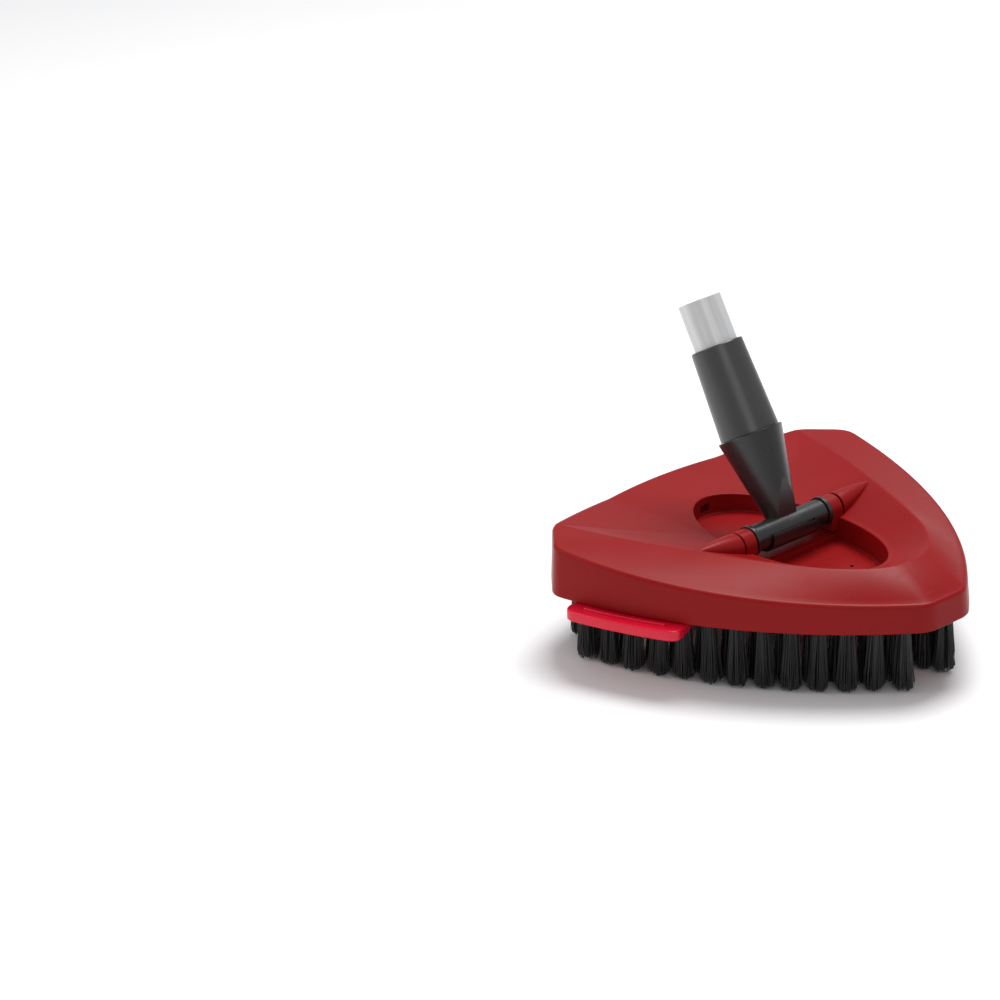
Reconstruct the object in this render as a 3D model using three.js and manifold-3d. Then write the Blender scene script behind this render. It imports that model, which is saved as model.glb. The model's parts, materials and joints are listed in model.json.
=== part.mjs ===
// Three-cornered scrubbing mop head: a moulded cover with a T-joint and swivelling handle,
// and a snap-in ring of bristle tufts underneath. Millimetres, +Z up, floor at z = 0,
// X along the T-joint's bar, the nose of the triangle towards -Y, origin on the floor under the
// middle of the cover's length. The pieces are drawn about the triangle's own centre and then moved.
import * as THREE from 'three';
import { mergeVertices } from 'three/addons/utils/BufferGeometryUtils.js';
import Module from 'manifold-3d';

const wasm = await Module();
wasm.setup();

const fitGap = 0.3;            // left between pieces that touch
const cutTolerance = 0.01;     // slivers thinner than this are cleaned away

const cover = {
  reach: 135,                  // centre to the blunt nose
  heelReach: 138,              // centre to each blunt rear corner
  heelAngle: 31,               // where the rear corners lie, from the X axis
  heelTwist: 12,               // the rear corners' faces are turned this much towards the rear
  cornerWidth: 32,             // length of a blunt corner
  bulge: 22.6,                 // how far each front side bows out of its chord
  rearBulge: 18.5,
  cornerRound: 6,
  wall: 2.4,
  bottom: 42,                  // skirt's lower edge above the floor
  flare: 1.2,                  // the lower edge stands out past the crest
  noseHeight: 17.3,            // skirt at the nose
  heelHeight: 32,              // skirt at the two rear corners
  sideDip: 2.7,                // the side's crest sags this far under a straight line
  edgeRound: 2.4,
  creaseHeight: 31.6,          // the fold between outer band and valley, above the skirt's edge
  valleyHeight: 20.4,          // the valley's floor above the skirt's edge
  rearRise: 6.3,               // the floor curves up by this much on its way to the rear edge
  stripHalfRear: 46,           // half the width of the valley's floor at the rear edge
  rimMargin: 2.5,              // flat round the recess before the valley climbs
};
const creaseShape = [          // fold in plan, in shares of the reach, from the nose to a rear corner
  [0, -0.787], [0.104, -0.77], [0.189, -0.723], [0.27, -0.641], [0.333, -0.556], [0.389, -0.452],
  [0.47, -0.278], [0.556, -0.067], [0.641, 0.148], [0.711, 0.367], [0.767, 0.588],
];

const recess = {
  halfWidth: 38, halfLength: 71, centreY: -9.7,
  rearDepth: 9.9, frontDepth: 15.1, stepY: -13,
  windowWidth: 8, windowHeight: 4.4, windowDrop: 2.4,
  drainRadius: 1.3, drainX: 14.3, drainY: -47,
};

const bar = {
  y: -6.5, height: 23.6,       // axis, above the skirt's lower edge
  radius: 8.3, halfLength: 29.2,
  ringWidth: 2.6, ringLip: 1.1, // end rings, which stand out past the bar
  axleRadius: 3, axleSeat: 7.8, axleGap: 0.35,
  clipThickness: 1.5, clipHalfLength: 20, clipTongue: 9,
};
const bearing = { length: 10, slit: 0.8, footDrop: 11 };
const cone = { length: 30, tipRadius: 0.9, tipRise: 6.4 };
const ribs = { thickness: 2, inner: 82, gap: 0.5 };

const handle = {
  lean: 29.3,                  // degrees from upright towards the rear at rest
  neckRadius: 9, neckStart: 4,
  socketTop: 59.5, socketRadius: 20.2, socketWall: 2.7,
  facetFoot: 5.1, facetTop: 26, // flat on the neck: distance from the axis at its foot, height of its top
  bossRadius: 8.5, bossTop: 50, hollowFloor: 24,
  screwRadius: 4, screwDepth: 22, screwHeadRadius: 7.5, screwHeadHeight: 4.5,
  washerThickness: 1.6, bushWall: 1.6,
  collarLength: 55.7,
  collarStep: 1.9,             // the collar's foot stands this far inside the socket's rim
  collarWall: 2.4,             // round the tube
  collarFloor: 4.5, spigotLength: 5,
  tubeRadius: 13.45, tubeWall: 1.3, tubeStub: 29, tubeSeat: 42,
  plugLength: 16, plugWall: 2,
};

const ring = {
  inset: 7.5,                  // its corners stay this far inside the cover's
  cornerWidth: 38, bulge: 20, rearBulge: 15.9, cornerRound: 8,
  lift: 2.5,                   // its underside above the skirt's lower edge
  noseThickness: 11, heelThickness: 14.2,
  edgeRound: 2, undercut: 3.5,
  nubRadius: 1.7, nubStand: 0.9,
};
const nubsAlongSide = [-0.31, -0.58, -0.81];  // shares of the reach, along Y on the two front sides
const nubsAlongRear = [-0.52, -0.26, 0, 0.26, 0.52];  // shares of the reach, along X on the rear side
const holeShape = [            // half of the ring's opening, nose to rear, as outline points
  [12, -85.5], [21.5, -76], [26, -64], [32, -52], [40, -39], [50, -21], [60, 2],
  [67.5, 24], [70, 35], [66, 42], [50, 47], [35, 51.5], [24, 57.5], [16.5, 65], [7, 69.5],
];
const tubGap = 1.6;            // between the ring's opening and the cover's recess
const tab = {
  thickness: 6.6, drop: 0.4,   // its top hangs this far under the skirt's lower edge
  stand: 11.5,                 // past the skirt
  fromY: -31, toY: 42, cornerRound: 8,
  ridgeFromY: -19, ridgeToY: 32, ridgeOut: 6, ridgeWidth: 1.8, ridgeHeight: 1.4,
  webThickness: 3, webHeight: 4,
};
const tufts = {
  outerInset: 13, rowGap: 12,  // outer row in from the cover's sides, and between the two rows
  stripsPerSide: 3, stripGap: 4,
  rootWidth: 7.6, tipWidth: 11.2,
};

const finishes = {
  coverRed: { color: 0xa83434, roughness: 0.42, metalness: 0 },
  ringRed: { color: 0xcb2a3c, roughness: 0.3, metalness: 0 },
  darkGrey: { color: 0x2f2f31, roughness: 0.5, metalness: 0 },
  collarGrey: { color: 0x55555a, roughness: 0.5, metalness: 0 },
  acetalWhite: { color: 0xe3e3de, roughness: 0.4, metalness: 0 },
  steel: { color: 0xb4b6b9, roughness: 0.3, metalness: 0.9 },
  tubeGrey: { color: 0xa9abad, roughness: 0.35, metalness: 0.6 },
  bristleBlack: { color: 0x111111, roughness: 0.8, metalness: 0 },
};

// ---------- solids ----------

// Joins shared corners, drops empty triangles and turns the faces outward.
function solid(geometry) {
  const bare = geometry.index ? geometry.toNonIndexed() : geometry.clone();
  bare.deleteAttribute('normal');
  bare.deleteAttribute('uv');
  const merged = mergeVertices(bare, 1e-4);
  const at = merged.attributes.position;
  const corner = new THREE.Vector3();
  const kept = [];
  let volume = 0;
  for (let i = 0; i < merged.index.count; i += 3) {
    const [a, b, c] = [0, 1, 2].map((k) => merged.index.getX(i + k));
    if (a === b || b === c || c === a) continue;
    kept.push(a, b, c);
    const [p, q, r] = [a, b, c].map((k) => corner.fromBufferAttribute(at, k).clone());
    volume += p.dot(q.cross(r));
  }
  if (volume < 0) kept.reverse();
  return new wasm.Manifold(new wasm.Mesh({
    numProp: 3,
    vertProperties: new Float32Array(at.array),
    triVerts: new Uint32Array(kept),
  }));
}

// The finished body as a mesh, without the slivers that cuts leave.
function toGeometry(body) {
  const mesh = body.simplify(cutTolerance).getMesh();
  const geometry = new THREE.BufferGeometry();
  geometry.setAttribute('position', new THREE.BufferAttribute(mesh.vertProperties, 3));
  geometry.setIndex(new THREE.BufferAttribute(mesh.triVerts, 1));
  geometry.computeVertexNormals();
  return geometry;
}

// A closed solid through a stack of outlines that all have the same number of points.
function loft(outlines) {
  const count = outlines[0].length;
  const points = outlines.flat();
  const middle = (outline) => outline.reduce((sum, p) => sum.add(p), new THREE.Vector3())
    .divideScalar(count);
  points.push(middle(outlines[0]), middle(outlines.at(-1)));
  const index = [];
  for (let k = 0; k < count; k += 1) {
    const next = (k + 1) % count;
    for (let row = 0; row < outlines.length - 1; row += 1) {
      const low = row * count;
      const high = low + count;
      index.push(low + k, low + next, high + next, low + k, high + next, high + k);
    }
    const last = (outlines.length - 1) * count;
    index.push(next, k, points.length - 2, last + k, last + next, points.length - 1);
  }
  const geometry = new THREE.BufferGeometry().setFromPoints(points);
  geometry.setIndex(index);
  return solid(geometry);
}

// An outline drawn up from one height to another.
function prism(outline, low, high) {
  const geometry = new THREE.ExtrudeGeometry(new THREE.Shape(outline), {
    depth: high - low, bevelEnabled: false, steps: 1,
  });
  return solid(geometry.translate(0, 0, low));
}

// A profile of [radius, height] pairs turned about Z.
function turned(profile, segments = 32) {
  const points = profile.map(([r, z]) => new THREE.Vector2(r, z));
  return solid(new THREE.LatheGeometry(points, segments).rotateX(Math.PI / 2));
}

// A tube or rod along Z; an inner radius of zero makes it solid.
function sleeve(outer, inner, low, high, segments = 32) {
  if (inner === 0) return turned([[0, low], [outer, low], [outer, high], [0, high]], segments);
  return turned([[inner, low], [outer, low], [outer, high], [inner, high], [inner, low]], segments);
}

function block(x0, x1, y0, y1, z0, z1) {
  const geometry = new THREE.BoxGeometry(x1 - x0, y1 - y0, z1 - z0);
  return solid(geometry.translate((x0 + x1) / 2, (y0 + y1) / 2, (z0 + z1) / 2));
}

const alongX = (body) => body.rotate([0, 90, 0]);
const mirrored = (body) => body.mirror([1, 0, 0]);

// ---------- outlines in plan ----------

const polar = (radius, degrees) => {
  const turn = THREE.MathUtils.degToRad(degrees);
  return new THREE.Vector2(radius * Math.cos(turn), radius * Math.sin(turn));
};

// The circle that a bowed side lies on, from the chord's ends and its bulge.
function bowOf(start, end, bulge) {
  const half = start.distanceTo(end) / 2;
  const radius = (half * half + bulge * bulge) / (2 * bulge);
  const along = end.clone().sub(start).normalize();
  const outward = new THREE.Vector2(along.y, -along.x);
  const middle = start.clone().add(end).divideScalar(2);
  const centre = middle.addScaledVector(outward, bulge - radius);
  return { centre, radius, outward, along, halfAngle: Math.asin(half / radius) };
}

// Ends of a blunt corner, counter-clockwise: 0 is the nose, 1 the rear right, 2 the rear left.
function cornerEnds(plan, corner) {
  const degrees = [-90, plan.heelAngle, 180 - plan.heelAngle][corner];
  const facing = [-90, 30 + plan.heelTwist, 150 - plan.heelTwist][corner];
  const tip = polar(corner === 0 ? plan.reach : plan.heelReach, degrees);
  const side = polar(plan.cornerWidth / 2, facing + 90);
  return [tip.clone().sub(side), tip.clone().add(side)];
}

// Side 0 runs from the nose to the rear right corner, side 1 is the rear, side 2 the left.
const sideBow = (plan, side) => bowOf(
  cornerEnds(plan, side)[1], cornerEnds(plan, (side + 1) % 3)[0], side === 1 ? plan.rearBulge : plan.bulge,
);

// Three bowed sides and three blunt corners with rounded ends, counter-clockwise.
function bluntTriangle(plan, perSide = 14, perRound = 3) {
  const outline = [];
  for (let side = 0; side < 3; side += 1) {
    const bow = sideBow(plan, side);
    const trim = plan.cornerRound / bow.radius;
    const sweep = 2 * (bow.halfAngle - trim);
    const onBow = (turn) => bow.centre.clone()
      .addScaledVector(bow.outward, bow.radius * Math.cos(turn))
      .addScaledVector(bow.along, bow.radius * Math.sin(turn));
    for (let k = 0; k <= perSide; k += 1) outline.push(onBow(-sweep / 2 + (sweep * k) / perSide));
    const [first, second] = cornerEnds(plan, (side + 1) % 3);
    const across = second.clone().sub(first).normalize().multiplyScalar(plan.cornerRound);
    const nextBow = sideBow(plan, (side + 1) % 3);
    const nextStart = nextBow.centre.clone()
      .addScaledVector(nextBow.outward, nextBow.radius * Math.cos(trim - nextBow.halfAngle))
      .addScaledVector(nextBow.along, nextBow.radius * Math.sin(trim - nextBow.halfAngle));
    const into = new THREE.QuadraticBezierCurve(outline.at(-1), first, first.clone().add(across));
    const outOf = new THREE.QuadraticBezierCurve(second.clone().sub(across), second, nextStart);
    outline.push(...into.getPoints(perRound).slice(1), ...outOf.getPoints(perRound).slice(0, -1));
  }
  return outline;
}

// Moves a counter-clockwise outline inward by the same distance everywhere.
function inset(outline, distance) {
  const count = outline.length;
  const inwardOf = (p, q) => new THREE.Vector2(p.y - q.y, q.x - p.x).normalize();
  return outline.map((point, k) => {
    const before = inwardOf(outline[(k + count - 1) % count], point);
    const after = inwardOf(point, outline[(k + 1) % count]);
    const split = before.add(after).normalize();
    return point.clone().addScaledVector(split, distance / split.dot(after));
  });
}

const raise = (outline, height) => outline.map((p) => new THREE.Vector3(p.x, p.y, height(p)));
const ellipse = (halfWidth, halfLength, count = 56) => new THREE.EllipseCurve(
  0, recess.centreY, halfWidth, halfLength, 0, 2 * Math.PI,
).getPoints(count).slice(0, -1);

// ---------- heights ----------

const crestAtNose = cover.bottom + cover.noseHeight;
const crestAtHeel = cover.bottom + cover.heelHeight;
const valleyFloor = cover.bottom + cover.valleyHeight;
const creaseTop = cover.bottom + cover.creaseHeight;
const barAxis = new THREE.Vector3(0, bar.y, cover.bottom + bar.height);

const rearBow = sideBow(cover, 1);
const rearEdge = rearBow.centre.y + rearBow.radius;

// The valley's floor is level in front and curves up towards the rear edge.
function floorHeight(y) {
  const share = THREE.MathUtils.clamp((y - recess.centreY) / (rearEdge - recess.centreY), 0, 1);
  return valleyFloor + cover.rearRise * share ** 2;
}

// The valley runs out through the rear edge and climbs to the two rear corners.
function rearHeight(point) {
  const cornerX = creaseShape.at(-1)[0] * cover.reach;
  const climb = (Math.abs(point.x) - cover.stripHalfRear) / (cornerX - cover.stripHalfRear);
  return THREE.MathUtils.lerp(floorHeight(point.y), creaseTop, THREE.MathUtils.clamp(climb, 0, 1));
}

function crestHeight(point) {
  const share = THREE.MathUtils.clamp((point.y + cover.reach) / (1.5 * cover.reach), 0, 1);
  const straight = THREE.MathUtils.lerp(crestAtNose, crestAtHeel, share);
  return Math.min(straight - cover.sideDip * 4 * share * (1 - share), rearHeight(point));
}

// ---------- cover ----------

const crestPlan = bluntTriangle(cover, 20);
const recessCentre = new THREE.Vector2(0, recess.centreY);

// The fold in plan, both halves, and the line where the valley's floor ends.
const creaseHalf = creaseShape.map(([x, y]) => new THREE.Vector2(x, y).multiplyScalar(cover.reach));
const otherHalf = (half) => half.slice(1).reverse().map((p) => new THREE.Vector2(-p.x, p.y));
const crease = new THREE.SplineCurve([...otherHalf(creaseHalf), ...creaseHalf]).getPoints(96);
const floorHalf = ellipse(recess.halfWidth + cover.rimMargin, recess.halfLength + cover.rimMargin, 96)
  .filter((p) => p.x > 0 && p.y < recess.halfWidth / 2)
  .sort((p, q) => p.y - q.y);
floorHalf.push(new THREE.Vector2(cover.stripHalfRear, cover.reach));
const floorEdge = [...otherHalf([new THREE.Vector2(), ...floorHalf]), ...floorHalf];

// How far a ray from the recess's centre goes before it meets an open line.
function reachTo(line, direction, limit) {
  for (let k = 0; k < line.length - 1; k += 1) {
    const from = line[k].clone().sub(recessCentre);
    const edge = line[k + 1].clone().sub(line[k]);
    const turn = direction.cross(edge);
    const along = from.cross(edge) / turn;
    const share = from.cross(direction) / turn;
    if (along > 0 && share >= 0 && share <= 1) return Math.min(along, limit);
  }
  return limit;
}

// The top face as rings from the crest inward: band, fold, valley side, valley floor.
function topRings(edge, sink) {
  const rings = [edge.map((p) => new THREE.Vector3(p.x, p.y, crestHeight(p) - sink))];
  const rays = edge.map((p) => {
    const direction = p.clone().sub(recessCentre).normalize();
    const full = p.distanceTo(recessCentre);
    const fold = reachTo(crease, direction, full - 1);
    const floor = reachTo(floorEdge, direction, fold - 1);
    const foldTop = fold < full - 1 ? creaseTop : rearHeight(p);
    const floorTop = floorHeight(recess.centreY + direction.y * floor);
    return { direction, full, fold, floor, foldTop, floorTop, crest: crestHeight(p) };
  });
  const ringAt = (stop) => rays.map((ray) => {
    const [distance, height] = stop(ray);
    const spot = recessCentre.clone().addScaledVector(ray.direction, distance);
    return new THREE.Vector3(spot.x, spot.y, height - sink);
  });
  const { lerp } = THREE.MathUtils;
  rings.push(ringAt((ray) => [lerp(ray.full, ray.fold, 0.5), lerp(ray.crest, ray.foldTop, 0.56)]));
  rings.push(ringAt((ray) => [ray.fold, ray.foldTop]));
  rings.push(ringAt((ray) => [lerp(ray.fold, ray.floor, 0.5), lerp(ray.foldTop, ray.floorTop, 0.54)]));
  for (const share of [1, 0.8, 0.5]) {
    rings.push(ringAt((ray) => [ray.floor * share, lerp(valleyFloor, ray.floorTop, share ** 2)]));
  }
  return rings;
}

function coverForm(shrink, low) {
  const round = cover.edgeRound;
  const foot = inset(crestPlan, shrink - cover.flare);
  const crest = inset(crestPlan, shrink);
  const shoulder = inset(crestPlan, shrink + 0.3 * round);
  return loft([
    raise(foot, () => low),
    raise(crest, (p) => crestHeight(p) - shrink - round),
    raise(shoulder, (p) => crestHeight(p) - shrink - 0.3 * round),
    ...topRings(inset(crestPlan, shrink + round), shrink),
  ]);
}

// The brush ring's top, which the ribs under the cover bear on.
const ringBottom = cover.bottom + ring.lift;
const ringPlan = {
  ...ring, reach: cover.reach - ring.inset, heelReach: cover.heelReach - ring.inset,
  heelAngle: cover.heelAngle, heelTwist: cover.heelTwist,
};
function ringTop(y) {
  const share = (y + ringPlan.reach) / (1.5 * ringPlan.reach);
  return ringBottom + THREE.MathUtils.lerp(ring.noseThickness, ring.heelThickness, share);
}

function bearingRibs() {
  const angles = [-90, -50, -10, 30, 70, 110, 150, 190, 230];
  return angles.map((degrees) => {
    const end = polar(cover.reach, degrees);
    const foot = ringTop(Math.max(end.y, 0)) + ribs.gap;
    const rib = block(ribs.inner, cover.reach, -ribs.thickness / 2, ribs.thickness / 2, foot, creaseTop);
    return rib.rotate([0, 0, degrees]);
  });
}

const bearingInner = bar.halfLength + bar.ringWidth + 2 * fitGap;
const bearingOuter = bearingInner + bearing.length;
const coneStart = bearingOuter + bearing.slit;
const axleEnd = coneStart + bar.axleSeat;

function makeCover() {
  const { halfWidth, halfLength, rearDepth, frontDepth, stepY } = recess;
  const { wall } = cover;
  const wide = 2 * cover.reach;
  const outerForm = coverForm(0, cover.bottom);
  let hollow = coverForm(wall, cover.bottom - 1);
  for (const rib of bearingRibs()) hollow = hollow.subtract(rib);
  const tubOutline = ellipse(halfWidth + wall, halfLength + wall);
  const wellOutline = ellipse(halfWidth, halfLength);
  const frontOf = (y) => block(-wide, wide, -wide, y, 0, wide);
  const sunk = wall / 4;
  const tubTop = valleyFloor - sunk;
  const tub = prism(tubOutline, valleyFloor - rearDepth - wall, wide)
    .add(prism(tubOutline, valleyFloor - frontDepth - wall, wide).intersect(frontOf(stepY + wall)))
    .intersect(coverForm(sunk, cover.bottom));
  const well = prism(wellOutline, valleyFloor - rearDepth, wide)
    .add(prism(wellOutline, valleyFloor - frontDepth, wide).intersect(frontOf(stepY)));

  // Housings for the two bearings, and the tapered fairings that run out into the valley's sides.
  const pocketHalf = bar.radius + fitGap;
  const pocketFloor = barAxis.z - bearing.footDrop - fitGap;
  const housing = block(bearingInner - fitGap, coneStart + wall, bar.y - pocketHalf - wall,
    bar.y + pocketHalf + wall, pocketFloor - wall, tubTop);
  const circle = (radius, x, rise) => Array.from({ length: 24 }, (unused, k) => {
    const spot = polar(radius, k * 15);
    return new THREE.Vector3(x, bar.y + spot.x, barAxis.z + rise + spot.y);
  });
  const fairing = loft([
    circle(bar.radius, coneStart, 0),
    circle(bar.radius * 0.72, coneStart + cone.length * 0.5, cone.tipRise * 0.42),
    circle(cone.tipRadius, coneStart + cone.length, cone.tipRise),
  ]);
  const pocket = block(bearingInner - 2, coneStart, bar.y - pocketHalf, bar.y + pocketHalf,
    pocketFloor, wide);
  const axleBore = alongX(sleeve(bar.axleRadius + fitGap, 0, coneStart - 1, axleEnd + fitGap, 16))
    .translate([0, barAxis.y, barAxis.z]);

  const windowLow = valleyFloor - recess.windowDrop - recess.windowHeight;
  const openings = block(-recess.windowWidth / 2, recess.windowWidth / 2, halfLength / 2,
    halfLength + 2 * wall, windowLow, windowLow + recess.windowHeight);
  const drain = sleeve(recess.drainRadius, 0, cover.bottom - 1, valleyFloor, 12);

  let body = outerForm.add(fairing).add(mirrored(fairing)).subtract(hollow);
  body = body.add(tub).add(housing).add(mirrored(housing)).subtract(well);
  body = body.subtract(pocket).subtract(mirrored(pocket)).subtract(openings);
  body = body.subtract(axleBore).subtract(mirrored(axleBore));
  for (const side of [-1, 1]) body = body.subtract(drain.translate([side * recess.drainX, recess.drainY, 0]));
  return body;
}

// Red half-round bearing with a foot, seated in the cover's pocket.
function makeBearing() {
  const { length, footDrop } = bearing;
  const barrel = alongX(sleeve(bar.radius, 0, bearingInner, bearingInner + length));
  const foot = block(bearingInner, bearingInner + length, -bar.radius, bar.radius, -footDrop, 0);
  const bore = alongX(sleeve(bar.axleRadius + bar.axleGap, 0, 0, bearingOuter + 1));
  return barrel.add(foot).subtract(bore);
}

// ---------- T-joint, in the handle's leaning frame, origin on the bar's axis ----------

function makeTee() {
  const { neckRadius, neckStart, socketTop, socketRadius, socketWall, hollowFloor } = handle;
  const grow = (socketRadius - neckRadius) / (socketTop - neckStart);
  const radiusAt = (w) => neckRadius + grow * (w - neckStart);
  let body = turned([[0, neckStart], [neckRadius, neckStart], [socketRadius, socketTop], [0, socketTop]], 40);

  // A flat on the front and rear of the neck that runs out in an arch.
  const topDistance = radiusAt(handle.facetTop);
  const tilt = Math.atan2(topDistance - handle.facetFoot, handle.facetTop - neckStart);
  const shave = block(-socketRadius, socketRadius, -socketRadius, 0, -socketRadius, handle.facetTop * 1.4)
    .rotate([THREE.MathUtils.radToDeg(tilt), 0, 0])
    .translate([0, -handle.facetFoot, neckStart]);
  body = body.subtract(shave).subtract(shave.mirror([0, 1, 0]));

  const hollow = turned([
    [handle.bossRadius, hollowFloor], [radiusAt(hollowFloor) - socketWall, hollowFloor],
    [radiusAt(socketTop + 1) - socketWall, socketTop + 1], [0, socketTop + 1],
    [0, handle.bossTop], [handle.bossRadius, handle.bossTop], [handle.bossRadius, hollowFloor],
  ], 40);
  const screwHole = sleeve(handle.screwRadius + fitGap, 0, handle.bossTop - handle.screwDepth,
    socketTop, 20);
  const barrel = alongX(sleeve(bar.radius, 0, -bar.halfLength, bar.halfLength));
  const bore = alongX(sleeve(bar.axleRadius + fitGap, 0, -bar.halfLength - 1, bar.halfLength + 1, 20));
  return body.subtract(hollow).subtract(screwHole).add(barrel).subtract(bore);
}

// Spring clip round the underside of the bar, its front lip cut in steps.
function makeBarClip() {
  const inner = bar.radius + fitGap;
  const outer = inner + bar.clipThickness;
  const { clipHalfLength, clipTongue } = bar;
  const tubeOf = alongX(sleeve(outer, inner, -clipHalfLength, clipHalfLength));
  const upper = block(-clipHalfLength - 1, clipHalfLength + 1, -outer - 1, outer + 1, -1.5, outer + 1);
  const longLip = block(clipTongue, clipHalfLength + 1, -outer - 1, 0, -4.5, outer);
  return tubeOf.subtract(upper).subtract(longLip);
}

function makeEndRing() {
  const low = bar.halfLength + fitGap;
  return alongX(sleeve(bar.radius + bar.ringLip, bar.axleRadius + fitGap, low, low + bar.ringWidth));
}

function makeAxle() {
  const bevel = 0.8;
  return alongX(turned([
    [0, -axleEnd], [bar.axleRadius - bevel, -axleEnd], [bar.axleRadius, bevel - axleEnd],
    [bar.axleRadius, axleEnd - bevel], [bar.axleRadius - bevel, axleEnd], [0, axleEnd],
  ], 20));
}

// ---------- swivel and handle, same frame ----------

const collarFoot = handle.socketTop + 2 * fitGap;
const collarTop = collarFoot + handle.collarLength;
const spigotFoot = collarFoot - handle.spigotLength;
const floorTop = spigotFoot + handle.collarFloor;
const washerFoot = handle.bossTop + fitGap;
const bushRadius = handle.screwRadius + fitGap + handle.bushWall;
const tubeBottom = collarTop - handle.tubeSeat;
const tubeTop = collarTop + handle.tubeStub;

function makeCollar() {
  const { collarStep, collarWall, tubeRadius, socketRadius, socketWall } = handle;
  const seat = tubeRadius + fitGap;
  const footRadius = socketRadius - collarStep;
  const topRadius = seat + collarWall;
  const spigotRadius = socketRadius - socketWall - 3 * fitGap;
  const bevel = 0.8;
  const ledge = tubeRadius - 2.5;
  return turned([
    [bushRadius + fitGap, spigotFoot], [spigotRadius - bevel, spigotFoot],
    [spigotRadius, spigotFoot + bevel], [spigotRadius, collarFoot],
    [footRadius - bevel, collarFoot], [footRadius, collarFoot + bevel],
    [topRadius, collarTop - bevel], [topRadius - bevel, collarTop],
    [seat, collarTop], [seat, tubeBottom - fitGap], [ledge, tubeBottom - fitGap],
    [ledge, floorTop], [bushRadius + fitGap, floorTop], [bushRadius + fitGap, spigotFoot],
  ], 40);
}

// Flanged bush in the collar's floor; its flange is the thrust face under the screw's head.
function makeBush() {
  const inner = handle.screwRadius + fitGap;
  const flangeTop = floorTop + fitGap + handle.washerThickness;
  return turned([
    [inner, spigotFoot], [bushRadius, spigotFoot], [bushRadius, floorTop + fitGap],
    [handle.screwHeadRadius, floorTop + fitGap], [handle.screwHeadRadius, flangeTop],
    [inner, flangeTop], [inner, spigotFoot],
  ]);
}

const makeThrustWasher = () => sleeve(
  handle.bossRadius, handle.screwRadius + fitGap, washerFoot, spigotFoot - fitGap,
);

// Shoulder screw: a shank down into the T-joint's boss and a head over the bush.
function makeSwivelScrew() {
  const { screwRadius, screwDepth, screwHeadRadius, screwHeadHeight, bossTop, washerThickness } = handle;
  const low = bossTop - screwDepth + 1;
  const seat = floorTop + washerThickness + 2 * fitGap;
  const top = seat + screwHeadHeight;
  const socket = sleeve(screwRadius * 0.7, 0, top - screwHeadHeight / 2, top + 1, 6);
  return turned([
    [0, low], [screwRadius - 1, low], [screwRadius, low + 1], [screwRadius, seat],
    [screwHeadRadius, seat], [screwHeadRadius, top - 0.8], [screwHeadRadius - 0.8, top], [0, top],
  ]).subtract(socket);
}

const makeTube = () => sleeve(
  handle.tubeRadius, handle.tubeRadius - handle.tubeWall, tubeBottom, tubeTop, 40,
);

// Plastic end plug pressed into the foot of the tube.
function makePlug() {
  const outer = handle.tubeRadius - handle.tubeWall - fitGap;
  return sleeve(outer, outer - handle.plugWall, tubeBottom + 1, tubeBottom + 1 + handle.plugLength);
}

// ---------- brush ring ----------

const mirrorX = (points) => points.map((p) => new THREE.Vector2(-p.x, p.y)).reverse();

// Part of a ring about the bow's centre, between two values of Y, with rounded outer corners.
function bowSector(bow, inner, outer, fromY, toY, round) {
  const turnAt = (y) => Math.PI - Math.asin((y - bow.centre.y) / outer);
  const on = (radius, turn) => new THREE.Vector2(
    bow.centre.x + radius * Math.cos(turn), bow.centre.y + radius * Math.sin(turn),
  );
  const [low, high] = [turnAt(toY), turnAt(fromY)];
  const trim = round / outer;
  const steps = 6;
  const outline = [];
  for (let k = 0; k <= steps; k += 1) outline.push(on(inner, THREE.MathUtils.lerp(high, low, k / steps)));
  const corner = (from, tip, to) => new THREE.QuadraticBezierCurve(from, tip, to).getPoints(5);
  outline.push(...corner(on(outer - round, low), on(outer, low), on(outer, low + trim)));
  for (let k = 1; k < steps; k += 1) {
    outline.push(on(outer, THREE.MathUtils.lerp(low + trim, high - trim, k / steps)));
  }
  outline.push(...corner(on(outer, high - trim), on(outer, high), on(outer - round, high)));
  return outline;
}

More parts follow.
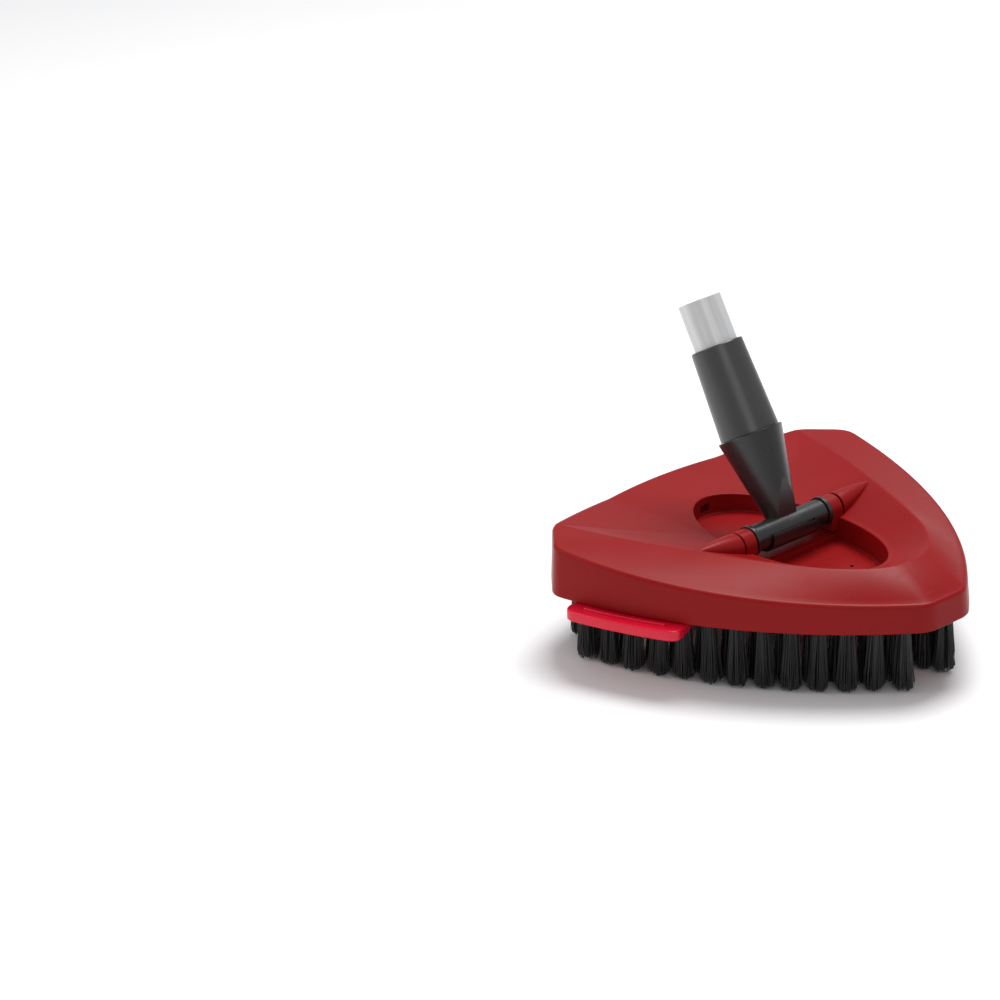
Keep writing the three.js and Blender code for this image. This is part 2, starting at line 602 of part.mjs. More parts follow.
function makeBrushRing() {
  const outline = bluntTriangle(ringPlan);
  const top = (p) => ringTop(p.y);
  let body = loft([
    raise(inset(outline, ring.undercut), () => ringBottom),
    raise(inset(outline, 0.4), () => THREE.MathUtils.lerp(ringBottom, crestAtNose, 0.4)),
    raise(outline, (p) => top(p) - ring.edgeRound),
    raise(inset(outline, 0.3 * ring.edgeRound), (p) => top(p) - 0.3 * ring.edgeRound),
    raise(inset(outline, ring.edgeRound), top),
  ]);
  const half = holeShape.map(([x, y]) => new THREE.Vector2(x, y));
  const opening = new THREE.Shape();
  const loop = [...half, ...half.slice().reverse().map((p) => new THREE.Vector2(-p.x, p.y))];
  opening.setFromPoints(new THREE.SplineCurve([...loop, loop[0]]).getPoints(72).slice(0, -1));
  body = body.subtract(prism(opening.getPoints(), ringBottom - 1, crestAtHeel));
  const tubSpace = cover.wall + tubGap;
  const tubOutline = ellipse(recess.halfWidth + tubSpace, recess.halfLength + tubSpace);
  body = body.subtract(prism(tubOutline, ringBottom - 1, crestAtHeel));

  // Half-round snap nubs on the sides, which grip inside the skirt.
  const side = sideBow(ringPlan, 2);
  const rear = sideBow(ringPlan, 1);
  const nub = (x, y) => {
    const height = ringTop(y) - ring.edgeRound - ringBottom - ring.lift;
    return sleeve(ring.nubRadius, 0, 0, height, 12).translate([x, y, ringBottom + ring.lift]);
  };
  const sunk = ring.nubStand - ring.nubRadius;
  for (const share of nubsAlongSide) {
    const y = share * ringPlan.reach;
    const x = side.centre.x - Math.sqrt((side.radius + sunk) ** 2 - (y - side.centre.y) ** 2);
    body = body.add(nub(x, y)).add(nub(-x, y));
  }
  for (const share of nubsAlongRear) {
    const x = share * ringPlan.reach;
    body = body.add(nub(x, rear.centre.y + Math.sqrt((rear.radius + sunk) ** 2 - x * x)));
  }

  // Foot tabs beside the rear corners, hung on a web inside the skirt and outside the tufts.
  const skirt = sideBow(cover, 2);
  const tabTop = cover.bottom - tab.drop;
  const tuftFace = tufts.rootWidth / 2 + (tufts.tipWidth - tufts.rootWidth) / 8;
  const webInner = skirt.radius - tufts.outerInset + tuftFace + fitGap;
  const skirtFoot = skirt.radius + cover.flare;
  const plate = bowSector(skirt, webInner, skirtFoot + tab.stand, tab.fromY, tab.toY, tab.cornerRound);
  const web = bowSector(skirt, webInner, webInner + tab.webThickness, tab.fromY, tab.toY, 1);
  const ridge = bowSector(skirt, skirtFoot + tab.ridgeOut - tab.ridgeWidth, skirtFoot + tab.ridgeOut,
    tab.ridgeFromY, tab.ridgeToY, 0.6);
  for (const flip of [(points) => points, mirrorX]) {
    body = body.add(prism(flip(plate), tabTop - tab.thickness, tabTop));
    body = body.add(prism(flip(web), tabTop - 1, ringBottom + tab.webHeight));
    body = body.add(prism(flip(ridge), tabTop - 1, tabTop + tab.ridgeHeight));
  }
  return body;
}

// How far along a side a row of tufts may run: clear of the corner's face and of the next row.
function rowEnd(rowInset, side, sign) {
  const bow = sideBow(cover, side);
  const radius = bow.radius - rowInset;
  const corner = sign > 0 ? (side + 1) % 3 : side;
  const neighbour = sideBow(cover, sign > 0 ? (side + 1) % 3 : (side + 2) % 3);
  const turnOf = (vector) => Math.atan2(vector.dot(bow.along), vector.dot(bow.outward));

  const [first, second] = cornerEnds(cover, corner);
  const facing = second.clone().sub(first).normalize();
  const outward = new THREE.Vector2(facing.y, -facing.x);
  const room = outward.dot(first.clone().sub(bow.centre)) - rowInset;
  const faceLimit = sign * turnOf(outward) - Math.acos(room / radius);

  const between = neighbour.centre.clone().sub(bow.centre);
  const distance = between.length();
  const clear = neighbour.radius - rowInset - tufts.tipWidth / 2 - tufts.stripGap / 2;
  const spread = Math.acos((radius ** 2 + distance ** 2 - clear ** 2) / (2 * radius * distance));
  const rowLimit = sign * turnOf(between) + spread;
  const wrapped = Math.atan2(Math.sin(rowLimit), Math.cos(rowLimit));
  const other = Math.atan2(Math.sin(rowLimit - 2 * spread), Math.cos(rowLimit - 2 * spread));
  const nearest = Math.abs(wrapped - bow.halfAngle) < Math.abs(other - bow.halfAngle) ? wrapped : other;
  return sign * Math.min(faceLimit, nearest);
}

// Strips of joined tufts along one side: narrow at the ring, flared at the floor.
function tuftStrips(rowInset, side) {
  const { stripsPerSide, stripGap, rootWidth, tipWidth } = tufts;
  const bow = sideBow(cover, side);
  const radius = bow.radius - rowInset;
  const start = rowEnd(rowInset, side, -1);
  const span = (rowEnd(rowInset, side, 1) - start) / stripsPerSide;
  const trim = stripGap / 2 / radius;
  const steps = 6;
  const edge = (reach, first, last) => Array.from({ length: steps + 1 }, (unused, k) => {
    const turn = THREE.MathUtils.lerp(first, last, k / steps);
    return bow.centre.clone()
      .addScaledVector(bow.outward, reach * Math.cos(turn))
      .addScaledVector(bow.along, reach * Math.sin(turn));
  });
  return Array.from({ length: stripsPerSide }, (unused, k) => {
    const first = start + k * span + trim;
    const last = first + span - 2 * trim;
    const outlineOf = (width) => [
      ...edge(radius + width / 2, first, last), ...edge(radius - width / 2, first, last).reverse(),
    ];
    return loft([
      raise(outlineOf(tipWidth), () => 0),
      raise(outlineOf(rootWidth), () => ringBottom - fitGap),
    ]);
  });
}

// ---------- assembly ----------

const mop = new THREE.Group();
mop.position.y = (cover.reach - rearEdge) / 2;
const handleFrame = new THREE.Group();
handleFrame.position.copy(barAxis);
handleFrame.rotation.x = -THREE.MathUtils.degToRad(handle.lean);
mop.add(handleFrame);

function addPiece(parent, name, body, finish) {
  const mesh = new THREE.Mesh(toGeometry(body), new THREE.MeshStandardMaterial(finishes[finish]));
  mesh.name = name;
  parent.add(mesh);
  return mesh;
}

addPiece(mop, 'head_cover', makeCover(), 'coverRed');
const bearingBody = makeBearing();
addPiece(mop, 'bearing_right', bearingBody, 'coverRed').position.copy(barAxis);
addPiece(mop, 'bearing_left', mirrored(bearingBody), 'coverRed').position.copy(barAxis);

addPiece(handleFrame, 't_joint', makeTee(), 'darkGrey');
addPiece(handleFrame, 'bar_clip', makeBarClip(), 'darkGrey');
addPiece(handleFrame, 'end_ring_right', makeEndRing(), 'darkGrey');
addPiece(handleFrame, 'end_ring_left', mirrored(makeEndRing()), 'darkGrey');
addPiece(handleFrame, 'cross_axle', makeAxle(), 'steel');

addPiece(handleFrame, 'collar', makeCollar(), 'collarGrey');
addPiece(handleFrame, 'swivel_bush', makeBush(), 'acetalWhite');
addPiece(handleFrame, 'thrust_washer', makeThrustWasher(), 'acetalWhite');
addPiece(handleFrame, 'swivel_screw', makeSwivelScrew(), 'steel');
addPiece(handleFrame, 'handle_tube', makeTube(), 'tubeGrey');
addPiece(handleFrame, 'tube_plug', makePlug(), 'darkGrey');

addPiece(mop, 'brush_ring', makeBrushRing(), 'ringRed');
for (const [rowName, rowInset] of [['outer', tufts.outerInset], ['inner', tufts.outerInset + tufts.rowGap]]) {
  ['right', 'rear', 'left'].forEach((sideName, side) => {
    tuftStrips(rowInset, side).forEach((strip, k) => {
      addPiece(mop, `${rowName}_tufts_${sideName}_${k + 1}`, strip, 'bristleBlack');
    });
  });
}

export default mop;
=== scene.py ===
import json
import math
import random
import bpy
import numpy as np
from mathutils import Matrix, Vector


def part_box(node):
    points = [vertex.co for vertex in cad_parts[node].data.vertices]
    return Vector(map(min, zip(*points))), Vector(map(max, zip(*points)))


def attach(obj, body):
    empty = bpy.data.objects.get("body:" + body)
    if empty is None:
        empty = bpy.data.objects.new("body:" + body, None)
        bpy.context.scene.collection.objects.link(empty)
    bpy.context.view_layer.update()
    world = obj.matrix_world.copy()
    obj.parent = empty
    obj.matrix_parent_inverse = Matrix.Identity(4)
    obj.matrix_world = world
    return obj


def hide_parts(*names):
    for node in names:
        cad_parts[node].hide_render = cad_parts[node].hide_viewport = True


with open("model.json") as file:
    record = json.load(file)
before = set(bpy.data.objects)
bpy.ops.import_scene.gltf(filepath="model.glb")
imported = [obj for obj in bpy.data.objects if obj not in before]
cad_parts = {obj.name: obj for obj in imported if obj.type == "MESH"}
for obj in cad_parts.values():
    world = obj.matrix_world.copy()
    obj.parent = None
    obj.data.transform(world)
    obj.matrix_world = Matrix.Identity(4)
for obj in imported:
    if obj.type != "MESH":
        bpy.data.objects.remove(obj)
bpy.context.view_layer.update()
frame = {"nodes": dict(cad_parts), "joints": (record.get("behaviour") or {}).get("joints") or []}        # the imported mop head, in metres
mm = 0.001               # everything below is in millimetres until a mesh is made
onAxis = 1e-6            # a radius below this lies on the axis


# what the frame says about where things are
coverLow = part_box("head_cover")[0]
tiltJoint = next(joint for joint in frame["joints"] if joint["name"] == "handle_tilt")
spinJoint = next(joint for joint in frame["joints"] if joint["name"] == "handle_spin")
barAxis = np.array(tiltJoint["pos_m"]) / mm
handleLean = math.atan2(spinJoint["axis"][1], spinJoint["axis"][2])
handlePlace = Matrix.Translation(Vector(barAxis) * mm) @ Matrix.Rotation(-handleLean, 4, "X")


# the moulded cover: three bowed sides, blunt corners, a band that rises to a fold and a valley
cover = {
    "reach": 135, "heelReach": 138, "heelAngle": 31, "heelTwist": 12,
    "cornerWidth": 32, "bulge": 22.6, "rearBulge": 18.5, "cornerRound": 6,
    "wall": 2.4, "bottom": coverLow.z / mm, "flare": 1.2,
    "noseHeight": 17.3, "heelHeight": 32, "sideDip": 2.7,
    "edgeRound": 2.4, "footRound": 0.5,
    "creaseHeight": 31.6, "creaseRound": 1.3, "valleyHeight": 20.4, "valleyRound": 3,
    "rearRise": 6.3,
    "stripHalfRear": 46, "rimMargin": 2.5, "bandSwell": 0.24, "valleySwell": 0.16,
    "ribInner": 82, "ribHalf": 1, "ribGap": 0.5,
}
# the fold in plan, in shares of the reach, from the nose to a rear corner
creaseShape = [(0, -0.787), (0.104, -0.77), (0.189, -0.723), (0.27, -0.641), (0.333, -0.556),
               (0.389, -0.452), (0.47, -0.278), (0.556, -0.067), (0.641, 0.148), (0.711, 0.367),
               (0.767, 0.588)]
recess = {
    "halfWidth": 38, "halfLength": 71, "centreY": -9.7,
    "rearDepth": 9.9, "frontDepth": 15.1, "stepY": -13, "ledgeWidth": 1.8, "ledgeDrop": 1.1,
    "rimRound": 0.9, "floorRound": 1.2,
    "windowWidth": 8, "windowHeight": 4.4, "windowDrop": 2.4,
    "drainRadius": 1.3, "drainX": 14.3, "drainY": -47,
}
bar = {
    "radius": 8.3, "halfLength": 29.2, "ringWidth": 2.6, "ringRadius": 9.4,
    "ringRound": 0.5, "axleRadius": 3, "axleEnd": 51, "clipThickness": 1.5, "clipHalfLength": 20,
    "clipTongue": 9, "clipArmDrop": 1.5, "clipLipDrop": 4.5, "clipRound": 0.5,
}
bearing = {"length": 10, "slit": 0.8, "faceTrim": 0.7, "footDrop": 11, "footTop": -0.4,
           "cornerRound": 0.6}
fairing = {"length": 30, "tipRadius": 0.9, "tipRise": 6.4, "middleRadius": 0.72, "middleRise": 0.42}
fitGap = 0.3
axleGap = 0.35

# the triangle's own centre, which the plan shapes are drawn about
planCentre = np.array([0, coverLow.y / mm + cover["reach"] + cover["flare"], 0])
barY = barAxis[1] - planCentre[1]
crestAtNose = cover["bottom"] + cover["noseHeight"]
crestAtHeel = cover["bottom"] + cover["heelHeight"]
valleyFloor = cover["bottom"] + cover["valleyHeight"]
creaseTop = cover["bottom"] + cover["creaseHeight"]


# mesh helpers
def makePiece(name, points, faces):
    mesh = bpy.data.meshes.new(name)
    mesh.from_pydata((np.asarray(points, float) * mm).tolist(), [], faces)
    mesh.validate()
    piece = bpy.data.objects.new(name, mesh)
    bpy.context.scene.collection.objects.link(piece)
    return piece


def movePoints(piece, offset):
    piece.data.transform(Matrix.Translation(Vector([float(value) * mm for value in offset])))
    return piece


def turnPoints(piece, degrees, axis):
    piece.data.transform(Matrix.Rotation(math.radians(degrees), 4, axis))
    return piece


def mirrorCopy(piece, name):
    twin = piece.copy()
    twin.data = piece.data.copy()
    twin.name = name
    twin.data.transform(Matrix.Scale(-1, 4, (1, 0, 0)))
    twin.data.flip_normals()
    bpy.context.scene.collection.objects.link(twin)
    return twin


# a closed skin through a stack of outlines with the same number of points each
def loft(name, outlines):
    rows = len(outlines)
    count = len(outlines[0])
    points = np.concatenate([np.asarray(outline, float) for outline in outlines])
    faces = []
    for row in range(rows - 1):
        low = row * count
        for k in range(count):
            after = (k + 1) % count
            faces.append((low + k, low + after, low + count + after, low + count + k))
    faces.append(tuple(reversed(range(count))))
    faces.append(tuple((rows - 1) * count + k for k in range(count)))
    return makePiece(name, points, faces)


# a profile of (radius, height) turned about Z: its ends lie on the axis, or it is a closed loop clear of it
def lathe(name, profile, steps=96, loop=False):
    turns = np.linspace(0, 2 * math.pi, steps, endpoint=False)
    points, faces, starts = [], [], []
    for radius, height in profile:
        starts.append(len(points))
        if radius < onAxis:
            points.append((0, 0, height))
        else:
            points.extend((radius * math.cos(turn), radius * math.sin(turn), height) for turn in turns)
    pairs = list(zip(range(len(profile)), range(1, len(profile))))
    if loop:
        pairs.append((len(profile) - 1, 0))
    for low, high in pairs:
        for k in range(steps):
            after = (k + 1) % steps
            a, b = starts[low] + k, starts[low] + after
            c, d = starts[high] + after, starts[high] + k
            if profile[low][0] < onAxis:
                faces.append((starts[low], c, d))
            elif profile[high][0] < onAxis:
                faces.append((a, b, starts[high]))
            else:
                faces.append((a, b, c, d))
    return makePiece(name, points, faces)


# swaps each sharp corner of a profile for a short arc; a corner with no radius stays sharp
def softened(profile, loop=False, steps=4):
    result = []
    count = len(profile)
    for k, (x, y, *extra) in enumerate(profile):
        radius = extra[0] if extra else 0
        if radius == 0 or (not loop and k in (0, count - 1)):
            result.append((x, y))
            continue
        here = np.array([x, y], float)
        before = np.array(profile[k - 1][:2], float)
        after = np.array(profile[(k + 1) % count][:2], float)
        start = here + (before - here) / np.linalg.norm(before - here) * radius
        end = here + (after - here) / np.linalg.norm(after - here) * radius
        for t in np.linspace(0, 1, steps + 1):
            spot = (1 - t) ** 2 * start + 2 * t * (1 - t) * here + t * t * end
            result.append((float(spot[0]), float(spot[1])))
    return result


def box(name, low, high):
    corners = [(x, y, z) for z in (low[2], high[2]) for x, y in
               ((low[0], low[1]), (high[0], low[1]), (high[0], high[1]), (low[0], high[1]))]
    faces = [(3, 2, 1, 0), (4, 5, 6, 7), (0, 1, 5, 4), (1, 2, 6, 5), (2, 3, 7, 6), (3, 0, 4, 7)]
    return makePiece(name, corners, faces)


def prism(name, outline, low, high):
    return loft(name, [raised(outline, low), raised(outline, high)])


# joins or cuts a piece with a closed tool, which is then gone
def combine(piece, tool, how="DIFFERENCE"):
    step = piece.modifiers.new("combine", "BOOLEAN")
    step.operation = how
    step.solver = "MANIFOLD"
    step.object = tool
    graph = bpy.context.evaluated_depsgraph_get()
    mesh = bpy.data.meshes.new_from_object(piece.evaluated_get(graph))
    piece.modifiers.clear()
    old = piece.data
    piece.data = mesh
    mesh.name = piece.name
    bpy.data.meshes.remove(old)
    bpy.data.objects.remove(tool)
    return piece


def combineBoth(piece, tool, how="DIFFERENCE"):
    combine(piece, mirrorCopy(tool, tool.name + "Left"), how)
    return combine(piece, tool, how)


# smooth faces with crisp edges past an angle
def dress(piece, body, nodes, slot, material, sharpAngle=32):
    mesh = piece.data
    mesh.polygons.foreach_set("use_smooth", [True] * len(mesh.polygons))
    mesh.set_sharp_from_angle(angle=math.radians(sharpAngle))
    even = piece.modifiers.new("evenNormals", "WEIGHTED_NORMAL")
    even.keep_sharp = True
    mesh.materials.clear()
    mesh.materials.append(material)
    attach(piece, body)
    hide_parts(*nodes)
    return piece


# outlines in plan, as arrays of points that run counter-clockwise
def polar(radius, degrees):
    turn = math.radians(degrees)
    return np.array([radius * math.cos(turn), radius * math.sin(turn)])


def unit(vector):
    return vector / np.linalg.norm(vector, axis=-1, keepdims=True)


def bezier(start, corner, end, steps):
    t = np.linspace(0, 1, steps + 1)[:, None]
    return (1 - t) ** 2 * start + 2 * t * (1 - t) * corner + t * t * end


# ends of a blunt corner: 0 is the nose, 1 the rear right, 2 the rear left
def cornerEnds(plan, corner):
    degrees = (-90, plan["heelAngle"], 180 - plan["heelAngle"])[corner]
    facing = (-90, 30 + plan["heelTwist"], 150 - plan["heelTwist"])[corner]
    tip = polar(plan["reach"] if corner == 0 else plan["heelReach"], degrees)
    half = polar(plan["cornerWidth"] / 2, facing + 90)
    return tip - half, tip + half


# the circle that a side lies on: 0 from nose to rear right, 1 the rear, 2 the left
def sideBow(plan, side):
    start = cornerEnds(plan, side)[1]
    end = cornerEnds(plan, (side + 1) % 3)[0]
    bulge = plan["rearBulge"] if side == 1 else plan["bulge"]
    half = np.linalg.norm(end - start) / 2
    radius = (half ** 2 + bulge ** 2) / (2 * bulge)
    along = unit(end - start)
    outward = np.array([along[1], -along[0]])
    centre = (start + end) / 2 + outward * (bulge - radius)
    return {"centre": centre, "radius": radius, "outward": outward, "along": along,
            "halfAngle": math.asin(half / radius)}


def onBow(bow, turns, radius=None):
    radius = bow["radius"] if radius is None else radius
    turns = np.atleast_1d(turns)[:, None]
    return bow["centre"] + radius * (np.cos(turns) * bow["outward"] + np.sin(turns) * bow["along"])


def bluntTriangle(plan, perSide, perRound):
    parts = []
    for side in range(3):
        bow, following = sideBow(plan, side), sideBow(plan, (side + 1) % 3)
        trim = plan["cornerRound"] / bow["radius"]
        turns = np.linspace(trim - bow["halfAngle"], bow["halfAngle"] - trim, perSide + 1)
        parts.append(onBow(bow, turns))
        first, second = cornerEnds(plan, (side + 1) % 3)
        across = unit(second - first) * plan["cornerRound"]
        sideEnd, nextStart = parts[-1][-1], onBow(following, trim - following["halfAngle"])[0]
        parts.append(bezier(sideEnd, first, first + across, perRound)[1:])
        flat = np.linspace(first + across, second - across, 6)[1:-1]
        parts.append(flat)
        parts.append(bezier(second - across, second, nextStart, perRound)[:-1])
    return np.concatenate(parts)


def insetOutline(outline, distance):
    before = unit(outline - np.roll(outline, 1, axis=0))
    after = unit(np.roll(outline, -1, axis=0) - outline)
    inwardBefore = np.stack([-before[:, 1], before[:, 0]], 1)
    inwardAfter = np.stack([-after[:, 1], after[:, 0]], 1)
    split = unit(inwardBefore + inwardAfter)
    share = distance / np.sum(split * inwardAfter, axis=1, keepdims=True)
    return outline + split * share


def raised(outline, height):
    height = np.broadcast_to(np.asarray(height, float), (len(outline),))
    return np.column_stack([outline, height])


# rows that round an edge over, from the angles given; a negative radius widens the outline
def roundedRows(outline, radius, height, degrees, up=1):
    return [raised(insetOutline(outline, radius * (1 - math.cos(turn))),
                   height + up * radius * (1 - math.sin(turn))) for turn in np.radians(degrees)]


def ellipse(halfWidth, halfLength, count=160):
    turns = np.linspace(0, 2 * math.pi, count, endpoint=False)
    return np.stack([halfWidth * np.cos(turns), recess["centreY"] + halfLength * np.sin(turns)], 1)


def splineThrough(points, count, closed=False):
    points = np.asarray(points, float)
    total = len(points)
    spots = np.linspace(0, total if closed else total - 1, count, endpoint=not closed)
    result = []
    for spot in spots:
        k = min(int(spot), total - 1 if closed else total - 2)
        t = spot - k
        pick = [(k + j) % total if closed else min(max(k + j, 0), total - 1) for j in (-1, 0, 1, 2)]
        a, b, c, d = points[pick]
        result.append(0.5 * (2 * b + (c - a) * t + (2 * a - 5 * b + 4 * c - d) * t ** 2
                             + (3 * b - a - 3 * c + d) * t ** 3))
    return np.array(result)


# heights of the valley's floor, which curves up to the rear, and of the cover's crest
rearBow = sideBow(cover, 1)
rearEdge = rearBow["centre"][1] + rearBow["radius"]


def floorHeight(y):
    share = np.clip((y - recess["centreY"]) / (rearEdge - recess["centreY"]), 0, 1)
    return valleyFloor + cover["rearRise"] * share ** 2


def rearHeight(x, y):
    cornerX = creaseShape[-1][0] * cover["reach"]
    climb = np.clip((np.abs(x) - cover["stripHalfRear"]) / (cornerX - cover["stripHalfRear"]), 0, 1)
    return floorHeight(y) + (creaseTop - floorHeight(y)) * climb


def crestHeight(outline):
    share = np.clip((outline[:, 1] + cover["reach"]) / (1.5 * cover["reach"]), 0, 1)
    straight = crestAtNose + (crestAtHeel - crestAtNose) * share
    sides = straight - cover["sideDip"] * 4 * share * (1 - share)
    return np.minimum(sides, rearHeight(outline[:, 0], outline[:, 1]))


recessCentre = np.array([0, recess["centreY"]])
creaseHalf = np.array(creaseShape) * cover["reach"]
crease = splineThrough(np.concatenate([creaseHalf[:0:-1] * (-1, 1), creaseHalf]), 240)
floorRim = ellipse(recess["halfWidth"] + cover["rimMargin"], recess["halfLength"] + cover["rimMargin"], 240)
floorHalf = floorRim[(floorRim[:, 0] > 0) & (floorRim[:, 1] < recess["halfWidth"] / 2)]
floorHalf = floorHalf[np.argsort(floorHalf[:, 1])]
floorHalf = np.concatenate([floorHalf, [[cover["stripHalfRear"], cover["reach"]]]])
floorEdge = np.concatenate([floorHalf[::-1] * (-1, 1), floorHalf])


def reachTo(line, direction, limit):
    start = line[:-1] - recessCentre
    edge = line[1:] - line[:-1]
    turn = direction[0] * edge[:, 1] - direction[1] * edge[:, 0]
    along = (start[:, 0] * edge[:, 1] - start[:, 1] * edge[:, 0]) / turn
    share = (start[:, 0] * direction[1] - start[:, 1] * direction[0]) / turn
    hits = along[(along > 0) & (share >= 0) & (share <= 1)]
    return min(hits.min(), limit) if len(hits) else limit


# one ray's height profile: band, rounded fold, valley side, rounded foot, floor
def rayProfile(full, fold, foot, crest, foldTop, turn):
    def bend(before, corner, after, radius, steps):
        near = [min(radius / max(math.dist(corner, spot), 1e-6), 0.45) for spot in (before, after)]
        start = np.array(corner) + (np.array(before) - corner) * near[0]
        end = np.array(corner) + (np.array(after) - corner) * near[1]
        return bezier(start, np.array(corner), end, steps)

    def slope(start, end, swell, steps):
        t = np.linspace(0, 1, steps + 1)[:, None]
        line = start + (end - start) * t
        line[:, 1:] += (end - start)[1] * swell * t * (1 - t)
        return line

    def floorAt(distance):
        return floorHeight(recess["centreY"] + distance * turn)

    foldPoint, footPoint = (fold, foldTop), (foot, floorAt(foot))
    foldBend = bend((full, crest), foldPoint, footPoint, cover["creaseRound"], 4)
    inward = foot * 0.9
    footBend = bend(foldPoint, footPoint, (inward, floorAt(inward)), cover["valleyRound"], 4)
    band = slope(np.array([full, crest]), foldBend[0], cover["bandSwell"], 9)
    side = slope(foldBend[-1], footBend[0], cover["valleySwell"], 8)
    floor = np.array([[foot * share, floorAt(foot * share)] for share in (0.85, 0.75, 0.65, 0.5, 0.3, 0.12)])
    return np.concatenate([band, foldBend[1:], side[1:], footBend[1:], floor])


def coverForm(name, shrink, low, perSide, perRound):
    plan = bluntTriangle(cover, perSide, perRound)
    crestPlan = insetOutline(plan, shrink)
    crestTop = crestHeight(crestPlan) - shrink
    rows = [raised(insetOutline(plan, shrink - cover["flare"] + cover["footRound"]), low),
            raised(insetOutline(plan, shrink - cover["flare"]), low + cover["footRound"])]
    edge = cover["edgeRound"]
    for share in (0.33, 0.67):
        outline = insetOutline(plan, shrink - cover["flare"] * (1 - share))
        rows.append(raised(outline, low + (crestTop - edge - low) * share))
    for turn in np.radians([0, 15, 30, 45, 60, 75]):
        outline = insetOutline(plan, shrink + edge * (1 - math.cos(turn)))
        rows.append(raised(outline, crestHeight(outline) - shrink - edge * (1 - math.sin(turn))))
    inner = insetOutline(plan, shrink + edge)
    crests = crestHeight(inner)
    rays = []
    for point, crest in zip(inner, crests):
        full = np.linalg.norm(point - recessCentre)
        direction = (point - recessCentre) / full
        fold = reachTo(crease, direction, full - 1)
        foot = reachTo(floorEdge, direction, fold - 1)
        foldTop = creaseTop if fold < full - 1 else rearHeight(*point)
        profile = rayProfile(full, fold, foot, crest, foldTop, direction[1])
        rays.append(np.column_stack([recessCentre + profile[:, :1] * direction, profile[:, 1] - shrink]))
    rows.extend(np.array(rays).transpose(1, 0, 2))
    return loft(name, rows)


ringStyle = {
    "inset": 7.5, "cornerWidth": 38, "bulge": 20, "rearBulge": 15.9, "cornerRound": 8, "lift": 2.5,
    "noseThickness": 11, "heelThickness": 14.2, "edgeRound": 2, "undercut": 3.5, "draft": 0.4,
    "nubRadius": 1.7, "nubStand": 0.9, "nubFootRound": 0.4, "nubTopRound": 0.9, "holeRound": 1.2,
}
ringPlan = dict(ringStyle, reach=cover["reach"] - ringStyle["inset"],
                heelReach=cover["heelReach"] - ringStyle["inset"],
                heelAngle=cover["heelAngle"], heelTwist=cover["heelTwist"])
ringBottom = cover["bottom"] + ringStyle["lift"]


def ringTop(y):
    share = (y + ringPlan["reach"]) / (1.5 * ringPlan["reach"])
    return ringBottom + ringStyle["noseThickness"] \
        + (ringStyle["heelThickness"] - ringStyle["noseThickness"]) * share


bearingInner = bar["halfLength"] + bar["ringWidth"] + 2 * fitGap
fairingStart = bearingInner + bearing["length"] + bearing["slit"]


# the recess's cutter: floor with a rounded foot, upright wall, softened rim
def wellCutter(name, bottom, ceiling):
    outline = ellipse(recess["halfWidth"], recess["halfLength"])
    rim = recess["rimRound"]
    return loft(name, [*roundedRows(outline, recess["floorRound"], bottom, (90, 60, 30, 0)),
                       *roundedRows(outline, -rim, floorHeight(outline[:, 1]), (0, 20, 40, 60, 80)),
                       raised(insetOutline(outline, -rim), ceiling)])


